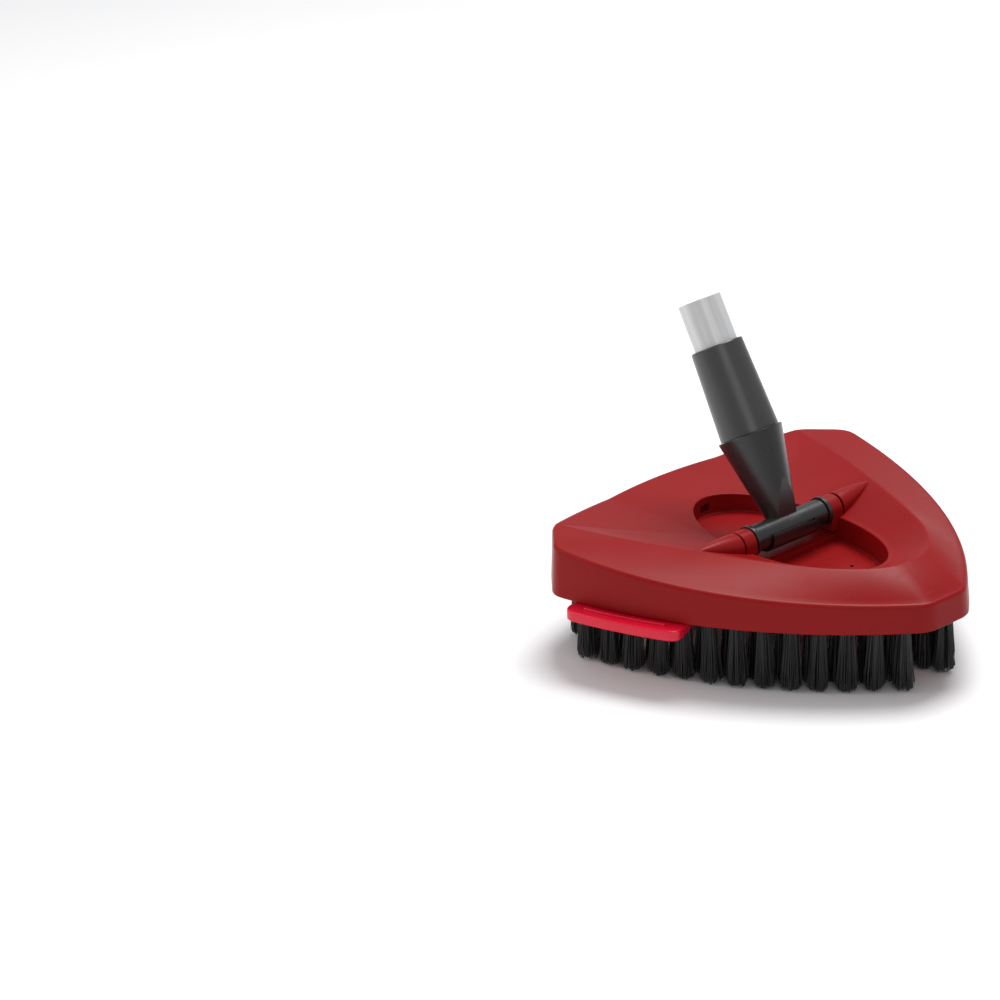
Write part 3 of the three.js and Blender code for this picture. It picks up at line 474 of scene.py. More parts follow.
def makeCover():
    wall, wide, ceiling = cover["wall"], 2 * cover["reach"], crestAtHeel + 40
    piece = coverForm("headCover", 0, cover["bottom"], 70, 8)

    # tapered fairings that run out into the valley's sides
    rows = []
    for t in np.linspace(0, 1, 13):
        swell = 4 * t * (1 - t)
        radius = (1 - t) * bar["radius"] + t * fairing["tipRadius"] \
            + swell * (fairing["middleRadius"] * bar["radius"] - (bar["radius"] + fairing["tipRadius"]) / 2)
        rise = t * fairing["tipRise"] + swell * (fairing["middleRise"] - 0.5) * fairing["tipRise"]
        turns = np.linspace(0, 2 * math.pi, 48, endpoint=False)
        rows.append(np.stack([np.full(48, fairingStart + t * fairing["length"]),
                              barY + radius * np.cos(turns), barAxis[2] + rise + radius * np.sin(turns)], 1))
    right = loft("fairing", rows)
    combineBoth(piece, right, "UNION")

    # the hollow underneath, with the ribs that bear on the brush ring
    hollow = coverForm("hollow", wall, cover["bottom"] - 1, 36, 4)
    for degrees in (-90, -50, -10, 30, 70, 110, 150, 190, 230):
        foot = ringTop(max(polar(cover["reach"], degrees)[1], 0)) + cover["ribGap"]
        rib = box("rib", (cover["ribInner"], -cover["ribHalf"], foot),
                  (cover["reach"], cover["ribHalf"], creaseTop))
        combine(hollow, turnPoints(rib, degrees, "Z"))
    combine(piece, hollow)

    # the tub under the recess
    outline = insetOutline(ellipse(recess["halfWidth"], recess["halfLength"]), -wall)
    tubTop = valleyFloor - wall / 4
    rimTop = floorHeight(outline[:, 1]) - wall / 4
    combine(piece, prism("tub", outline, valleyFloor - recess["rearDepth"] - wall, rimTop), "UNION")
    deepTub = prism("deepTub", outline, valleyFloor - recess["frontDepth"] - wall, rimTop)
    combine(deepTub, box("behind", (-wide, recess["stepY"] + wall, 0), (wide, wide, wide)))
    combine(piece, deepTub, "UNION")

    # housings for the two bearings
    pocketHalf = bar["radius"] + fitGap
    pocketFloor = barAxis[2] - bearing["footDrop"] - fitGap
    housing = box("housing", (bearingInner - fitGap, barY - pocketHalf - wall, pocketFloor - wall),
                  (fairingStart + wall, barY + pocketHalf + wall, tubTop))
    combineBoth(piece, housing, "UNION")

    # recess, its step and small ledge, pockets, window, drains and the axle's bore
    combine(piece, wellCutter("well", valleyFloor - recess["rearDepth"], ceiling))
    for edgeY, drop in ((recess["stepY"] + recess["ledgeWidth"], recess["rearDepth"] + recess["ledgeDrop"]),
                        (recess["stepY"], recess["frontDepth"])):
        deeper = wellCutter("deepWell", valleyFloor - drop, ceiling)
        combine(deeper, box("behind", (-wide, edgeY, 0), (wide, wide, wide)))
        combine(piece, deeper)
    pocket = box("pocket", (bearingInner - 2, barY - pocketHalf, pocketFloor),
                 (fairingStart, barY + pocketHalf, ceiling))
    combineBoth(piece, pocket)
    windowTop = valleyFloor - recess["windowDrop"]
    combine(piece, box("window", (-recess["windowWidth"] / 2, recess["halfLength"] / 2,
                                  windowTop - recess["windowHeight"]),
                       (recess["windowWidth"] / 2, recess["halfLength"] + 2 * wall, windowTop)))
    for side in (-1, 1):
        drain = lathe("drain", [(0, cover["bottom"] - 1), (recess["drainRadius"], cover["bottom"] - 1),
                                (recess["drainRadius"], valleyFloor), (0, valleyFloor)], 24)
        combine(piece, movePoints(drain, (side * recess["drainX"], recess["drainY"], 0)))
        bore = lathe("bore", [(0, fairingStart - 1), (bar["axleRadius"] + fitGap, fairingStart - 1),
                              (bar["axleRadius"] + fitGap, bar["axleEnd"] + fitGap),
                              (0, bar["axleEnd"] + fitGap)], 32)
        combine(piece, movePoints(turnPoints(bore, 90 * side, "Y"), (0, barY, barAxis[2])))
    return movePoints(piece, planCentre)


# red half-round bearing with its foot, seated in the cover's pocket
def makeBearing(name):
    soft = bearing["cornerRound"]
    low, high = bearingInner, bearingInner + bearing["length"] - bearing["faceTrim"]
    reach = bar["axleRadius"] + axleGap
    barrel = lathe(name, softened([(reach, low), (bar["radius"], low, soft), (bar["radius"], high, soft),
                                   (reach, high)], loop=True), 72, loop=True)
    turnPoints(barrel, 90, "Y")
    foot = box("foot", (low, -bar["radius"], -bearing["footDrop"]), (high, bar["radius"], bearing["footTop"]))
    bore = lathe("bore", [(0, low - 1), (reach, low - 1), (reach, high + 1), (0, high + 1)], 72)
    combine(foot, turnPoints(bore, 90, "Y"))
    combine(barrel, foot, "UNION")
    return barrel


# T-joint, drawn in the handle's own leaning frame
tee = {
    "neckRadius": 9, "neckStart": 4, "socketTop": 59.5, "socketRadius": 20.2, "socketWall": 2.7,
    "facetFoot": 5.1, "facetTop": 26, "shaveHalf": 20, "bossTop": 50,
    "coneRows": 14, "coneLip": 2, "screwRadius": 4, "screwDepth": 22, "lipRound": 0.5, "edgeRound": 0.7,
    "grooveFrom": 5, "grooveTo": 17, "grooveWidth": 1.3, "grooveDepth": 1, "grooveTurn": 14,
}
collarStyle = {
    "length": 55.7, "footRadius": 18.3, "topRadius": 16.15, "floor": 4.5, "spigotLength": 5,
    "bushWall": 1.6, "edgeRound": 0.8, "tubeRadius": 13.45, "ledge": 2.5, "seat": 42,
    "skirtGap": 0.15, "lipRound": 0.3,
}
tubeStyle = {"wall": 1.3, "stub": 29, "cutRound": 0.3}


def makeTee():
    grow = (tee["socketRadius"] - tee["neckRadius"]) / (tee["socketTop"] - tee["neckStart"])

    def radiusAt(height):
        return tee["neckRadius"] + grow * (height - tee["neckStart"])

    heights = np.linspace(tee["neckStart"], tee["socketTop"] - tee["coneLip"], tee["coneRows"])
    rows = [(radiusAt(height), height) for height in heights]
    piece = lathe("teeJoint", softened([
        (0, tee["neckStart"]), *rows,
        (tee["socketRadius"], tee["socketTop"], tee["lipRound"]), (0, tee["socketTop"])]), 144)

    # flats on the front and rear of the neck, which run out in an arch
    tilt = math.degrees(math.atan2(radiusAt(tee["facetTop"]) - tee["facetFoot"],
                                   tee["facetTop"] - tee["neckStart"]))
    for side in (1, -1):
        half = tee["shaveHalf"]
        shave = box("shave", (-half, -half, -half), (half, 0, tee["facetTop"] * 1.4))
        movePoints(turnPoints(shave, tilt, "X"), (0, -tee["facetFoot"], tee["neckStart"]))
        if side < 0:
            turnPoints(shave, 180, "Z")
        combine(piece, shave)

    # the swivel screw's hole; the socket itself is left solid here, and is hollow only in the CAD's t_joint
    screwRadius = tee["screwRadius"] + fitGap
    combine(piece, lathe("screwHole", [
        (0, tee["bossTop"] - tee["screwDepth"]), (screwRadius, tee["bossTop"] - tee["screwDepth"]),
        (screwRadius, tee["socketTop"]), (0, tee["socketTop"])], 48))

    # the cross barrel and the axle's bore through it
    half, soft = bar["halfLength"], tee["edgeRound"]
    barrel = lathe("barrel", softened([(0, -half), (bar["radius"], -half, soft), (bar["radius"], half, soft),
                                       (0, half)]), 96)
    combine(piece, turnPoints(barrel, 90, "Y"), "UNION")
    wide = tee["grooveWidth"] / 2
    groove = box("groove", (tee["grooveFrom"], -bar["radius"] - 1, -wide),
                 (tee["grooveTo"], tee["grooveDepth"] - bar["radius"], wide))
    combine(piece, turnPoints(groove, tee["grooveTurn"], "X"))
    reach = bar["axleRadius"] + fitGap
    bore = lathe("bore", [(0, -half - 1), (reach, -half - 1), (reach, half + 1), (0, half + 1)], 48)
    combine(piece, turnPoints(bore, 90, "Y"))
    return piece


# spring clip round the underside of the bar, its front lip cut in a step
def makeBarClip():
    inner = bar["radius"] + fitGap
    outer = inner + bar["clipThickness"]
    half, soft = bar["clipHalfLength"], bar["clipRound"]
    piece = lathe("barClip", softened([(inner, -half), (outer, -half, soft), (outer, half, soft),
                                       (inner, half)], loop=True), 96, loop=True)
    turnPoints(piece, 90, "Y")
    combine(piece, box("upper", (-half - 1, -outer - 1, -bar["clipArmDrop"]),
                       (half + 1, outer + 1, outer + 1)))
    combine(piece, box("lip", (bar["clipTongue"], -outer - 1, -bar["clipLipDrop"]),
                       (half + 1, 0, outer)))
    return piece


def makeEndRing(name):
    low = bar["halfLength"] + fitGap
    high = low + bar["ringWidth"]
    reach, soft = bar["axleRadius"] + fitGap, bar["ringRound"]
    return turnPoints(lathe(name, softened([
        (reach, low), (bar["ringRadius"], low, soft), (bar["ringRadius"], high, soft), (reach, high)],
        loop=True), 96, loop=True), 90, "Y")


collarFoot = tee["socketTop"] + 2 * fitGap
collarTop = collarFoot + collarStyle["length"]


def makeCollar():
    style = collarStyle
    soft = style["edgeRound"]
    spigotFoot = collarFoot - style["spigotLength"]
    bore = tee["screwRadius"] + 2 * fitGap + style["bushWall"]
    spigot = tee["socketRadius"] - tee["socketWall"] - 3 * fitGap
    seat = style["tubeRadius"] + fitGap
    ledge = style["tubeRadius"] - style["ledge"]
    tubeFoot = collarTop - style["seat"] - fitGap
    skirtFoot = tee["socketTop"] + style["skirtGap"]
    return lathe("handleCollar", softened([
        (bore, spigotFoot), (spigot, spigotFoot, soft), (spigot, skirtFoot),
        (style["footRadius"], skirtFoot, style["lipRound"]),
        (style["topRadius"], collarTop, soft * 1.5), (seat, collarTop, style["lipRound"]),
        (seat, tubeFoot),
        (ledge, tubeFoot), (ledge, spigotFoot + style["floor"]), (bore, spigotFoot + style["floor"]),
    ], loop=True), 128, loop=True)


def makeTube():
    outer = collarStyle["tubeRadius"]
    inner = outer - tubeStyle["wall"]
    low, high = collarTop - collarStyle["seat"], collarTop + tubeStyle["stub"]
    soft = tubeStyle["cutRound"]
    return lathe("handleTube", softened([
        (inner, low, soft), (outer, low, soft), (outer, high, soft), (inner, high, soft),
    ], loop=True), 128, loop=True)


# the snap-in brush ring with its opening, snap nubs and two foot tabs
nubsAlongSide = (-0.31, -0.58, -0.81)
nubsAlongRear = (-0.52, -0.26, 0, 0.26, 0.52)
holeShape = [(12, -85.5), (21.5, -76), (26, -64), (32, -52), (40, -39), (50, -21), (60, 2),
             (67.5, 24), (70, 35), (66, 42), (50, 47), (35, 51.5), (24, 57.5), (16.5, 65), (7, 69.5)]
tubGap = 1.6
tab = {
    "thickness": 6.6, "drop": 0.4, "stand": 11.5, "fromY": -31, "toY": 42, "cornerRound": 8,
    "edgeRound": 0.9, "ridgeFromY": -19, "ridgeToY": 32, "ridgeOut": 6, "ridgeWidth": 1.8,
    "ridgeHeight": 1.4, "ridgeRound": 0.6, "ridgeEdge": 0.45, "ridgeSink": 1.5,
    "webThickness": 3, "webHeight": 4, "webRound": 1, "webSink": 2, "webIn": 0.05, "webShort": 0.1,
}
tuft = {
    "outerInset": 13, "rowGap": 12, "pitch": 16, "rootRadius": 3.8, "tipRadius": 7.2,
    "filaments": 210, "filamentRadius": 0.34, "tipShare": 0.7, "rings": 5, "sides": 4,
    "clumps": 9, "clumpPull": 0.3, "ragged": 2.8, "roundness": 3.4, "waver": 0.6, "lean": 0.9,
    "stripWidth": 11.2, "stripRoot": 7.6, "stripsPerSide": 3, "stripGap": 4, "rootSink": 0.4,
}


def sectorOutline(bow, inner, outer, fromY, toY, soft, steps=14):
    low = math.pi - math.asin((toY - bow["centre"][1]) / outer)
    high = math.pi - math.asin((fromY - bow["centre"][1]) / outer)
    trim = soft / outer

    def on(radius, turn):
        return bow["centre"] + radius * np.array([math.cos(turn), math.sin(turn)])

    points = [on(inner, turn) for turn in np.linspace(high, low, steps + 1)]
    points.extend(bezier(on(outer - soft, low), on(outer, low), on(outer, low + trim), 8))
    points.extend(on(outer, turn) for turn in np.linspace(low + trim, high - trim, steps + 1)[1:-1])
    points.extend(bezier(on(outer, high - trim), on(outer, high), on(outer - soft, high), 8))
    return np.array(points)


# a plate with its top and bottom edges rounded over
def softPlate(name, outline, low, high, soft):
    return loft(name, [*roundedRows(outline, soft, low, (90, 60, 30, 0)),
                       *roundedRows(outline, soft, high, (0, 30, 60, 90), -1)])


def makeBrushRing():
    outline = bluntTriangle(ringPlan, 60, 8)
    tops = ringTop(outline[:, 1])
    edge = ringStyle["edgeRound"]
    middle = ringBottom + (crestAtNose - ringBottom) * 0.4
    rows = [raised(insetOutline(outline, ringStyle["undercut"]), ringBottom),
            raised(insetOutline(outline, ringStyle["draft"]), middle),
            *roundedRows(outline, edge, tops, (0, 18, 36, 54, 72, 90), -1)]
    piece = loft("brushRing", rows)

    half = np.array(holeShape, float)
    loop = splineThrough(np.concatenate([half, half[::-1] * (-1, 1)]), 220, closed=True)
    soft = ringStyle["holeRound"]
    opening = [raised(loop, ringBottom - 1)]
    for rise, widen in ((0, 0), (0.35, 0.25), (0.7, 0.6), (1, 1)):
        opening.append(raised(insetOutline(loop, -soft * widen), ringTop(loop[:, 1]) - soft * (1 - rise)))
    opening.append(raised(insetOutline(loop, -soft), crestAtHeel))
    combine(piece, loft("opening", opening))
    space = cover["wall"] + tubGap
    tubOutline = ellipse(recess["halfWidth"] + space, recess["halfLength"] + space)
    combine(piece, prism("tubSpace", tubOutline, ringBottom - 1, crestAtHeel))

    side, rear = sideBow(ringPlan, 2), sideBow(ringPlan, 1)
    sunk = ringStyle["nubStand"] - ringStyle["nubRadius"]
    spots = []
    for share in nubsAlongSide:
        y = share * ringPlan["reach"]
        x = side["centre"][0] - math.sqrt((side["radius"] + sunk) ** 2 - (y - side["centre"][1]) ** 2)
        spots.extend([(x, y), (-x, y)])
    for share in nubsAlongRear:
        x = share * ringPlan["reach"]
        spots.append((x, rear["centre"][1] + math.sqrt((rear["radius"] + sunk) ** 2 - x * x)))
    for x, y in spots:
        height = ringTop(y) - edge - ringBottom - ringStyle["lift"]
        radius = ringStyle["nubRadius"]
        nub = lathe("nub", softened([(0, 0), (radius, 0, ringStyle["nubFootRound"]),
                                      (radius, height, ringStyle["nubTopRound"]), (0, height)]), 32)
        combine(piece, movePoints(nub, (x, y, ringBottom + ringStyle["lift"])), "UNION")

    skirt = sideBow(cover, 2)
    tabTop = cover["bottom"] - tab["drop"]
    tuftFace = tuft["stripRoot"] / 2 + (tuft["stripWidth"] - tuft["stripRoot"]) / 8
    webInner = skirt["radius"] - tuft["outerInset"] + tuftFace + fitGap
    skirtFoot = skirt["radius"] + cover["flare"]
    plate = sectorOutline(skirt, webInner, skirtFoot + tab["stand"], tab["fromY"], tab["toY"],
                          tab["cornerRound"])
    web = sectorOutline(skirt, webInner + tab["webIn"], webInner + tab["webThickness"],
                        tab["fromY"] + tab["webShort"], tab["toY"] - tab["webShort"], tab["webRound"])
    ridge = sectorOutline(skirt, skirtFoot + tab["ridgeOut"] - tab["ridgeWidth"],
                          skirtFoot + tab["ridgeOut"], tab["ridgeFromY"], tab["ridgeToY"],
                          tab["ridgeRound"])
    parts = [softPlate("plate", plate, tabTop - tab["thickness"], tabTop, tab["edgeRound"]),
             prism("web", web, tabTop - tab["webSink"], ringBottom + tab["webHeight"]),
             softPlate("ridge", ridge, tabTop - tab["ridgeSink"], tabTop + tab["ridgeHeight"],
                       tab["ridgeEdge"])]
    for part in parts:
        combineBoth(piece, part, "UNION")
    return movePoints(piece, planCentre)


# bundles of nylon filaments: narrow at the ring, flared and ragged at the floor
draw = random.Random(41)


def filamentPoints(style):
    reach = math.sqrt(draw.random())
    turn = draw.uniform(0, 2 * math.pi)
    root = reach * style["rootRadius"] * np.array([math.cos(turn), math.sin(turn)])
    tip = root * style["tipRadius"] / style["rootRadius"]
    clump = int((turn / (2 * math.pi)) * style["clumps"]) + (style["clumps"] if reach < 0.5 else 0)
    return root, tip, reach, clump


def makeTufts(name, centres):
    style = tuft
    top = ringBottom + style["rootSink"]
    points, faces = [], []
    shares = np.linspace(0, 1, style["rings"])
    angles = np.linspace(0, 2 * math.pi, style["sides"], endpoint=False)
    for centre in centres:
        lean = np.array([draw.gauss(0, 1), draw.gauss(0, 1)]) * style["lean"] * 0.5
        pulls = {}
        for _ in range(style["filaments"]):
            root, tip, reach, clump = filamentPoints(style)
            if clump not in pulls:
                pulls[clump] = (tip * draw.uniform(0.7, 1.05), draw.uniform(0, 1.6))
            target, lift = pulls[clump]
            tip = tip + (target - tip) * style["clumpPull"] * draw.uniform(0.3, 1.3) + lean
            waver = np.array([draw.gauss(0, 1), draw.gauss(0, 1)]) * style["waver"]
            tipHeight = lift * 0.8 + style["roundness"] * reach ** 3 \
                + style["ragged"] * draw.random() ** 2.2
            spin = draw.uniform(0, math.pi)
            start = len(points)
            for t in shares:
                spot = centre + root + (tip - root) * t ** 1.35 + waver * math.sin(math.pi * t) * t
                thick = style["filamentRadius"] * (1 + (style["tipShare"] - 1) * t)
                height = top + (tipHeight - top) * t
                for angle in angles + spin:
                    points.append((spot[0] + thick * math.cos(angle), spot[1] + thick * math.sin(angle),
                                   height))
            sides = style["sides"]
            for row in range(len(shares) - 1):
                for k in range(sides):
                    after = (k + 1) % sides
                    low = start + row * sides
                    faces.append((low + k, low + sides + k, low + sides + after, low + after))
            last = start + (len(shares) - 1) * sides
            faces.append(tuple(start + k for k in range(sides)))
            faces.append(tuple(last + k for k in reversed(range(sides))))
    return movePoints(makePiece(name, points, faces), planCentre)


# how far along a side a row of tufts may run: clear of the corner's face and of the next row
def rowEnd(rowInset, side, sign):
    bow = sideBow(cover, side)
    radius = bow["radius"] - rowInset
    corner = (side + 1) % 3 if sign > 0 else side
    neighbour = sideBow(cover, (side + 1) % 3 if sign > 0 else (side + 2) % 3)

    def turnOf(vector):
        return math.atan2(vector @ bow["along"], vector @ bow["outward"])

    def wrapped(turn):
        return math.atan2(math.sin(turn), math.cos(turn))

    first, second = cornerEnds(cover, corner)
    facing = unit(second - first)
    outward = np.array([facing[1], -facing[0]])
    room = outward @ (first - bow["centre"]) - rowInset
    faceLimit = sign * turnOf(outward) - math.acos(room / radius)
    between = neighbour["centre"] - bow["centre"]
    distance = np.linalg.norm(between)
    clear = neighbour["radius"] - rowInset - tuft["stripWidth"] / 2 - tuft["stripGap"] / 2
    spread = math.acos((radius ** 2 + distance ** 2 - clear ** 2) / (2 * radius * distance))
    limits = [wrapped(sign * turnOf(between) + spread), wrapped(sign * turnOf(between) - spread)]
    rowLimit = min(limits, key=lambda turn: abs(turn - bow["halfAngle"]))
    return sign * min(faceLimit, rowLimit)


# where the tufts of one row along one side stand, shared out over its strips
def tuftCentres(rowInset, side):
    bow = sideBow(cover, side)
    radius = bow["radius"] - rowInset
    start, end = rowEnd(rowInset, side, -1), rowEnd(rowInset, side, 1)
    count = round((end - start) * radius / tuft["pitch"])
    strips = [[] for _ in range(tuft["stripsPerSide"])]
    for k in range(count):
        share = (k + 0.5) / count
        strip = int(share * tuft["stripsPerSide"])
        strips[strip].append(onBow(bow, start + share * (end - start), radius)[0])
    return strips


# finishes, all from nodes
def newMaterial(name):
    material = bpy.data.materials.new(name)
    material.use_nodes = True
    nodes = material.node_tree.nodes
    nodes.clear()
    shader = nodes.new("ShaderNodeBsdfPrincipled")
    output = nodes.new("ShaderNodeOutputMaterial")
    material.node_tree.links.new(shader.outputs["BSDF"], output.inputs["Surface"])
    return material, nodes, material.node_tree.links, shader


def noiseNode(nodes, links, coordinates, scale, detail=4, stretch=None):
    noise = nodes.new("ShaderNodeTexNoise")
    noise.inputs["Scale"].default_value = scale
    noise.inputs["Detail"].default_value = detail
    if stretch is None:
        links.new(coordinates, noise.inputs["Vector"])
        return noise
    mapping = nodes.new("ShaderNodeMapping")
    mapping.inputs["Scale"].default_value = stretch
    links.new(coordinates, mapping.inputs["Vector"])
    links.new(mapping.outputs["Vector"], noise.inputs["Vector"])
    return noise


def rangeNode(nodes, links, source, toLow, toHigh, fromLow=0.3, fromHigh=0.7):
    spread = nodes.new("ShaderNodeMapRange")
    for key, value in (("From Min", fromLow), ("From Max", fromHigh), ("To Min", toLow), ("To Max", toHigh)):
        spread.inputs[key].default_value = value
    links.new(source, spread.inputs["Value"])
    return spread.outputs["Result"]


def mixColours(nodes, links, factor, first, second):
    mix = nodes.new("ShaderNodeMix")
    mix.data_type = "RGBA"
    links.new(factor, mix.inputs["Factor"])
    for key, value in ((6, first), (7, second)):
        if isinstance(value, tuple):
            mix.inputs[key].default_value = (*value, 1)
        else:
            links.new(value, mix.inputs[key])
    return mix.outputs[2]


def addBump(nodes, links, shader, height, strength, depth):
    bump = nodes.new("ShaderNodeBump")
    bump.inputs["Strength"].default_value = strength
    bump.inputs["Distance"].default_value = depth
    links.new(height, bump.inputs["Height"])
    links.new(bump.outputs["Normal"], shader.inputs["Normal"])


# moulded plastic: faint flow clouding, a fine spark-eroded grain, hairline scuffs
def mouldedPlastic(name, look):
    material, nodes, links, shader = newMaterial(name)
    coordinates = nodes.new("ShaderNodeTexCoord").outputs["Object"]
    base = np.array(look["colour"])
    clouds = noiseNode(nodes, links, coordinates, look["cloudScale"], 5)
    cloudy = rangeNode(nodes, links, clouds.outputs["Fac"], 0, 1)
    dim = tuple(base * (1 - look["clouding"]))
    bright = tuple(np.minimum(base * (1 + look["clouding"]), 1))
    colour = mixColours(nodes, links, cloudy, dim, bright)
    scratches = noiseNode(nodes, links, coordinates, look["scuffScale"], 6, look["scuffStretch"])
    scuffed = rangeNode(nodes, links, scratches.outputs["Fac"], 0, look["scuffs"], 0.66, 0.74)
    worn = tuple(np.minimum(base * 1.25 + 0.03, 1))
    links.new(mixColours(nodes, links, scuffed, colour, worn), shader.inputs["Base Color"])
    grain = noiseNode(nodes, links, coordinates, look["grainScale"], 3)
    rough = rangeNode(nodes, links, clouds.outputs["Fac"], look["roughness"] - look["roughSpread"],
                      look["roughness"] + look["roughSpread"])
    extra = nodes.new("ShaderNodeMath")
    extra.operation = "ADD"
    links.new(rough, extra.inputs[0])
    links.new(rangeNode(nodes, links, scratches.outputs["Fac"], 0, 0.12, 0.62, 0.74), extra.inputs[1])
    links.new(extra.outputs["Value"], shader.inputs["Roughness"])
    addBump(nodes, links, shader, grain.outputs["Fac"], look["grainStrength"], look["grainDepth"])
    shader.inputs["Specular IOR Level"].default_value = look["specular"]
    shader.inputs["Coat Weight"].default_value = look["coat"]
    shader.inputs["Coat Roughness"].default_value = look["coatRoughness"]
    return material


plastic = {
    "cloudScale": 26, "clouding": 0.045, "scuffScale": 60, "scuffStretch": (1, 7, 3), "scuffs": 0.16,
    "grainScale": 1900, "grainStrength": 0.22, "grainDepth": 0.00012, "roughness": 0.4,
    "roughSpread": 0.035, "specular": 0.5, "coat": 0, "coatRoughness": 0.1,
}
coverLook = dict(plastic, colour=(0.25, 0.0055, 0.0065), roughness=0.36, specular=0.13)
ringLook = dict(plastic, colour=(0.66, 0.004, 0.028), roughness=0.26, grainStrength=0.08, clouding=0.03,
                specular=0.3, coat=0.15)
darkLook = dict(plastic, colour=(0.012, 0.012, 0.013), roughness=0.3, scuffs=0.1, grainStrength=0.3,
                specular=0.7)
collarLook = dict(plastic, colour=(0.032, 0.032, 0.034), roughness=0.32, scuffs=0.1, grainStrength=0.3,
                  specular=0.7)
acetalLook = dict(plastic, colour=(0.76, 0.76, 0.72), roughness=0.38, clouding=0.03)


# metal: streaks along the piece from drawing or turning, and faint spots
def drawnMetal(name, look):
    material, nodes, links, shader = newMaterial(name)
    coordinates = nodes.new("ShaderNodeTexCoord").outputs["Object"]
    base = np.array(look["colour"])
    streaks = noiseNode(nodes, links, coordinates, look["streakScale"], 6, look["streakStretch"])
    clouds = noiseNode(nodes, links, coordinates, look["cloudScale"], 4)
    lines = rangeNode(nodes, links, streaks.outputs["Fac"], 0, 1)
    links.new(mixColours(nodes, links, lines, tuple(base * 0.9), tuple(np.minimum(base * 1.08, 1))),
              shader.inputs["Base Color"])
    links.new(rangeNode(nodes, links, clouds.outputs["Fac"], look["roughness"] - 0.05,
                        look["roughness"] + 0.07), shader.inputs["Roughness"])
    addBump(nodes, links, shader, streaks.outputs["Fac"], look["bump"], look["bumpDepth"])
    shader.inputs["Metallic"].default_value = look["metallic"]
    return material


metal = {"cloudScale": 45, "bump": 0.15, "bumpDepth": 0.00008}
tubeLook = dict(metal, colour=(0.62, 0.625, 0.63), metallic=0.35, roughness=0.34, streakScale=420,
                streakStretch=(1, 1, 0.03))
steelLook = dict(metal, colour=(0.6, 0.6, 0.61), metallic=1.0, roughness=0.3, streakScale=500,
                 streakStretch=(1, 0.05, 1))


# black nylon: each filament a shade apart, dusty towards the tips
def filamentNylon(name, look):
    material, nodes, links, shader = newMaterial(name)
    coordinates = nodes.new("ShaderNodeTexCoord").outputs["Object"]
    base = np.array(look["colour"])
    strands = noiseNode(nodes, links, coordinates, look["strandScale"], 2, (1, 1, 0.05))
    shade = rangeNode(nodes, links, strands.outputs["Fac"], 0, 1)
    colour = mixColours(nodes, links, shade, tuple(base * 0.55), tuple(base * 1.9))
    split = nodes.new("ShaderNodeSeparateXYZ")
    links.new(coordinates, split.inputs["Vector"])
    dust = rangeNode(nodes, links, split.outputs["Z"], 0, look["dust"], look["dustTop"], 0)
    links.new(mixColours(nodes, links, dust, colour, tuple(base * 3.2 + 0.004)),
              shader.inputs["Base Color"])
    links.new(rangeNode(nodes, links, strands.outputs["Fac"], look["roughness"] - 0.1,
                        look["roughness"] + 0.1), shader.inputs["Roughness"])
    addBump(nodes, links, shader, strands.outputs["Fac"], look["bump"], look["bumpDepth"])
    return material


bristleLook = {"colour": (0.0055, 0.0055, 0.006), "strandScale": 900, "dust": 0.5, "dustTop": 0.012,
               "roughness": 0.5, "bump": 0.2, "bumpDepth": 0.0001}

coverRed = mouldedPlastic("moulded red of the cover", coverLook)
ringRed = mouldedPlastic("glossy red of the brush ring", ringLook)
darkPlastic = mouldedPlastic("dark grey joint plastic", darkLook)
collarPlastic = mouldedPlastic("grey collar plastic", collarLook)
acetal = mouldedPlastic("white bearing plastic", acetalLook)
tubeFinish = drawnMetal("silver-grey tube", tubeLook)
steel = drawnMetal("zinc-plated steel", steelLook)
bristle = filamentNylon("black nylon filament", bristleLook)
print("finishes made")


# the pieces, each on its body
dress(makeCover(), "head", ["head_cover"], "cover_red", coverRed)
print("cover made")
rightBearing = makeBearing("bearingRight")
leftBearing = mirrorCopy(rightBearing, "bearingLeft")
for piece, node in ((rightBearing, "bearing_right"), (leftBearing, "bearing_left")):
    dress(movePoints(piece, barAxis), "head", [node], "cover_red", coverRed)

joint = makeTee()
clip = makeBarClip()
rightRing = makeEndRing("endRingRight")
leftRing = mirrorCopy(rightRing, "endRingLeft")
for piece, body, node, slot, material in (
        (joint, "tee", "t_joint", "dark_plastic", darkPlastic),
        (clip, "tee", "bar_clip", "dark_plastic", darkPlastic),
        (rightRing, "tee", "end_ring_right", "dark_plastic", darkPlastic),
        (leftRing, "tee", "end_ring_left", "dark_plastic", darkPlastic),
        (makeCollar(), "handle", "collar", "collar_plastic", collarPlastic),
        (makeTube(), "handle", "handle_tube", "tube_finish", tubeFinish)):
    piece.matrix_world = handlePlace
    dress(piece, body, [node], slot, material, 13)
print("joint, collar and tube made")

dress(makeBrushRing(), "brush", ["brush_ring"], "ring_red", ringRed)
print("brush ring made")
for rowName, rowInset in (("outer", tuft["outerInset"]), ("inner", tuft["outerInset"] + tuft["rowGap"])):
    for side, sideName in enumerate(("right", "rear", "left")):
        for k, centres in enumerate(tuftCentres(rowInset, side)):
            tufts = makeTufts(f"{rowName}Tufts{sideName.title()}{k + 1}", centres)
            dress(tufts, "brush", [f"{rowName}_tufts_{sideName}_{k + 1}"], "bristle", bristle, 60)
            tufts.modifiers.clear()
print("tufts made")

# inner pieces that keep their shape get their finish
for nodeName, material in (("cross_axle", steel), ("swivel_screw", steel), ("swivel_bush", acetal),
                           ("thrust_washer", acetal), ("tube_plug", darkPlastic)):
    node = frame["nodes"][nodeName]
    node.data.materials.clear()
    node.data.materials.append(material)

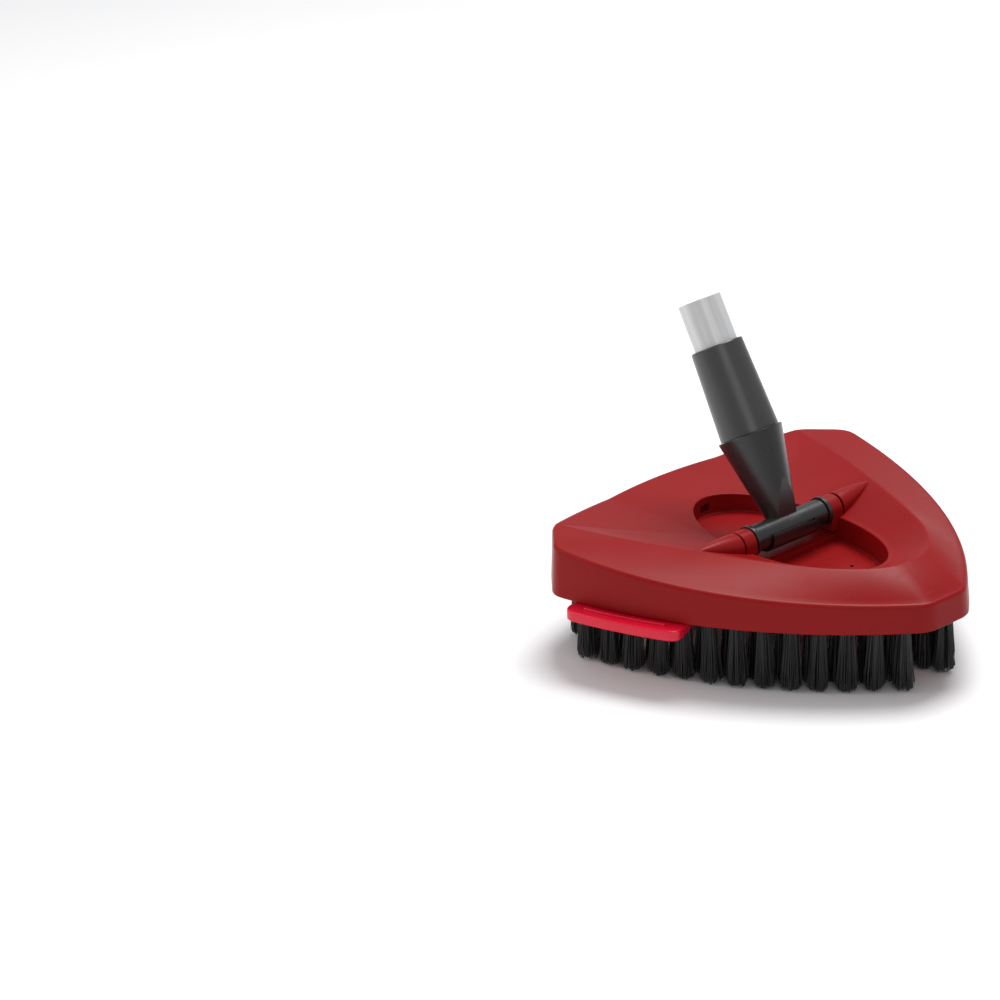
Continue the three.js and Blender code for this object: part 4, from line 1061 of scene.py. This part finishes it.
# floor, studio light and camera
studio = {
    "floorSize": 6, "floorColour": (0.86, 0.86, 0.87), "air": 0.45,
    "lights": [
        {"name": "keySoftbox", "place": (0.7, 0.3, 2.1), "size": 1.3, "power": 48},
        {"name": "frontFill", "place": (-1.2, -2.0, 1.6), "size": 1.4, "power": 6},
        {"name": "leftRim", "place": (-1.7, 1.2, 1.2), "size": 1.3, "power": 12},
    ],
}
floorPoints = [(x * studio["floorSize"] / mm / 2, y * studio["floorSize"] / mm / 2, -0.2)
               for x, y in ((-1, -1), (1, -1), (1, 1), (-1, 1))]
floor = makePiece("studioFloor", floorPoints, [(0, 1, 2, 3)])
floorFinish, floorNodes, floorLinks, floorShader = newMaterial("pale floor")
floorShader.inputs["Base Color"].default_value = (*studio["floorColour"], 1)
floorShader.inputs["Roughness"].default_value = 0.75
floor.data.materials.append(floorFinish)
aim = Vector((0, planCentre[1] * mm, cover["bottom"] * mm))
for light in studio["lights"]:
    lamp = bpy.data.lights.new(light["name"], "AREA")
    lamp.shape, lamp.size, lamp.energy = "DISK", light["size"], light["power"]
    holder = bpy.data.objects.new(light["name"], lamp)
    holder.location = light["place"]
    holder.rotation_euler = (aim - Vector(light["place"])).to_track_quat("-Z", "Y").to_euler()
    bpy.context.scene.collection.objects.link(holder)
world = bpy.data.worlds.new("studioAir")
world.use_nodes = True
world.node_tree.nodes["Background"].inputs["Color"].default_value = (1, 1, 1, 1)
world.node_tree.nodes["Background"].inputs["Strength"].default_value = studio["air"]
bpy.context.scene.world = world
bpy.context.scene.view_settings.view_transform = "Standard"

# the lens looks past the mop head, which stands to the right of the view's middle
view = {"azimuth": -46.61, "elevation": 23.57, "distance": 2.29725, "lens": 137.09, "sensor": 36,
        "right": 0.2776, "down": 0.0594}
azimuth, elevation = math.radians(view["azimuth"]), math.radians(view["elevation"])
backward = Vector((math.sin(azimuth) * math.cos(elevation), -math.cos(azimuth) * math.cos(elevation),
                   math.sin(elevation)))
lens = bpy.data.cameras.new("studioCamera")
lens.lens, lens.sensor_width = view["lens"], view["sensor"]
lens.clip_start, lens.clip_end = 0.05, 50
camera = bpy.data.objects.new("studioCamera", lens)
straight = (-backward).to_track_quat("-Z", "Y")
ahead = view["lens"] / view["sensor"]
offCentre = Vector((view["right"], -view["down"], -ahead)).normalized()
camera.rotation_mode = "QUATERNION"
camera.rotation_quaternion = straight @ Vector((0, 0, -1)).rotation_difference(offCentre).inverted()
camera.location = aim + backward * view["distance"]
bpy.context.scene.collection.objects.link(camera)
bpy.context.scene.camera = camera
print("studio set")
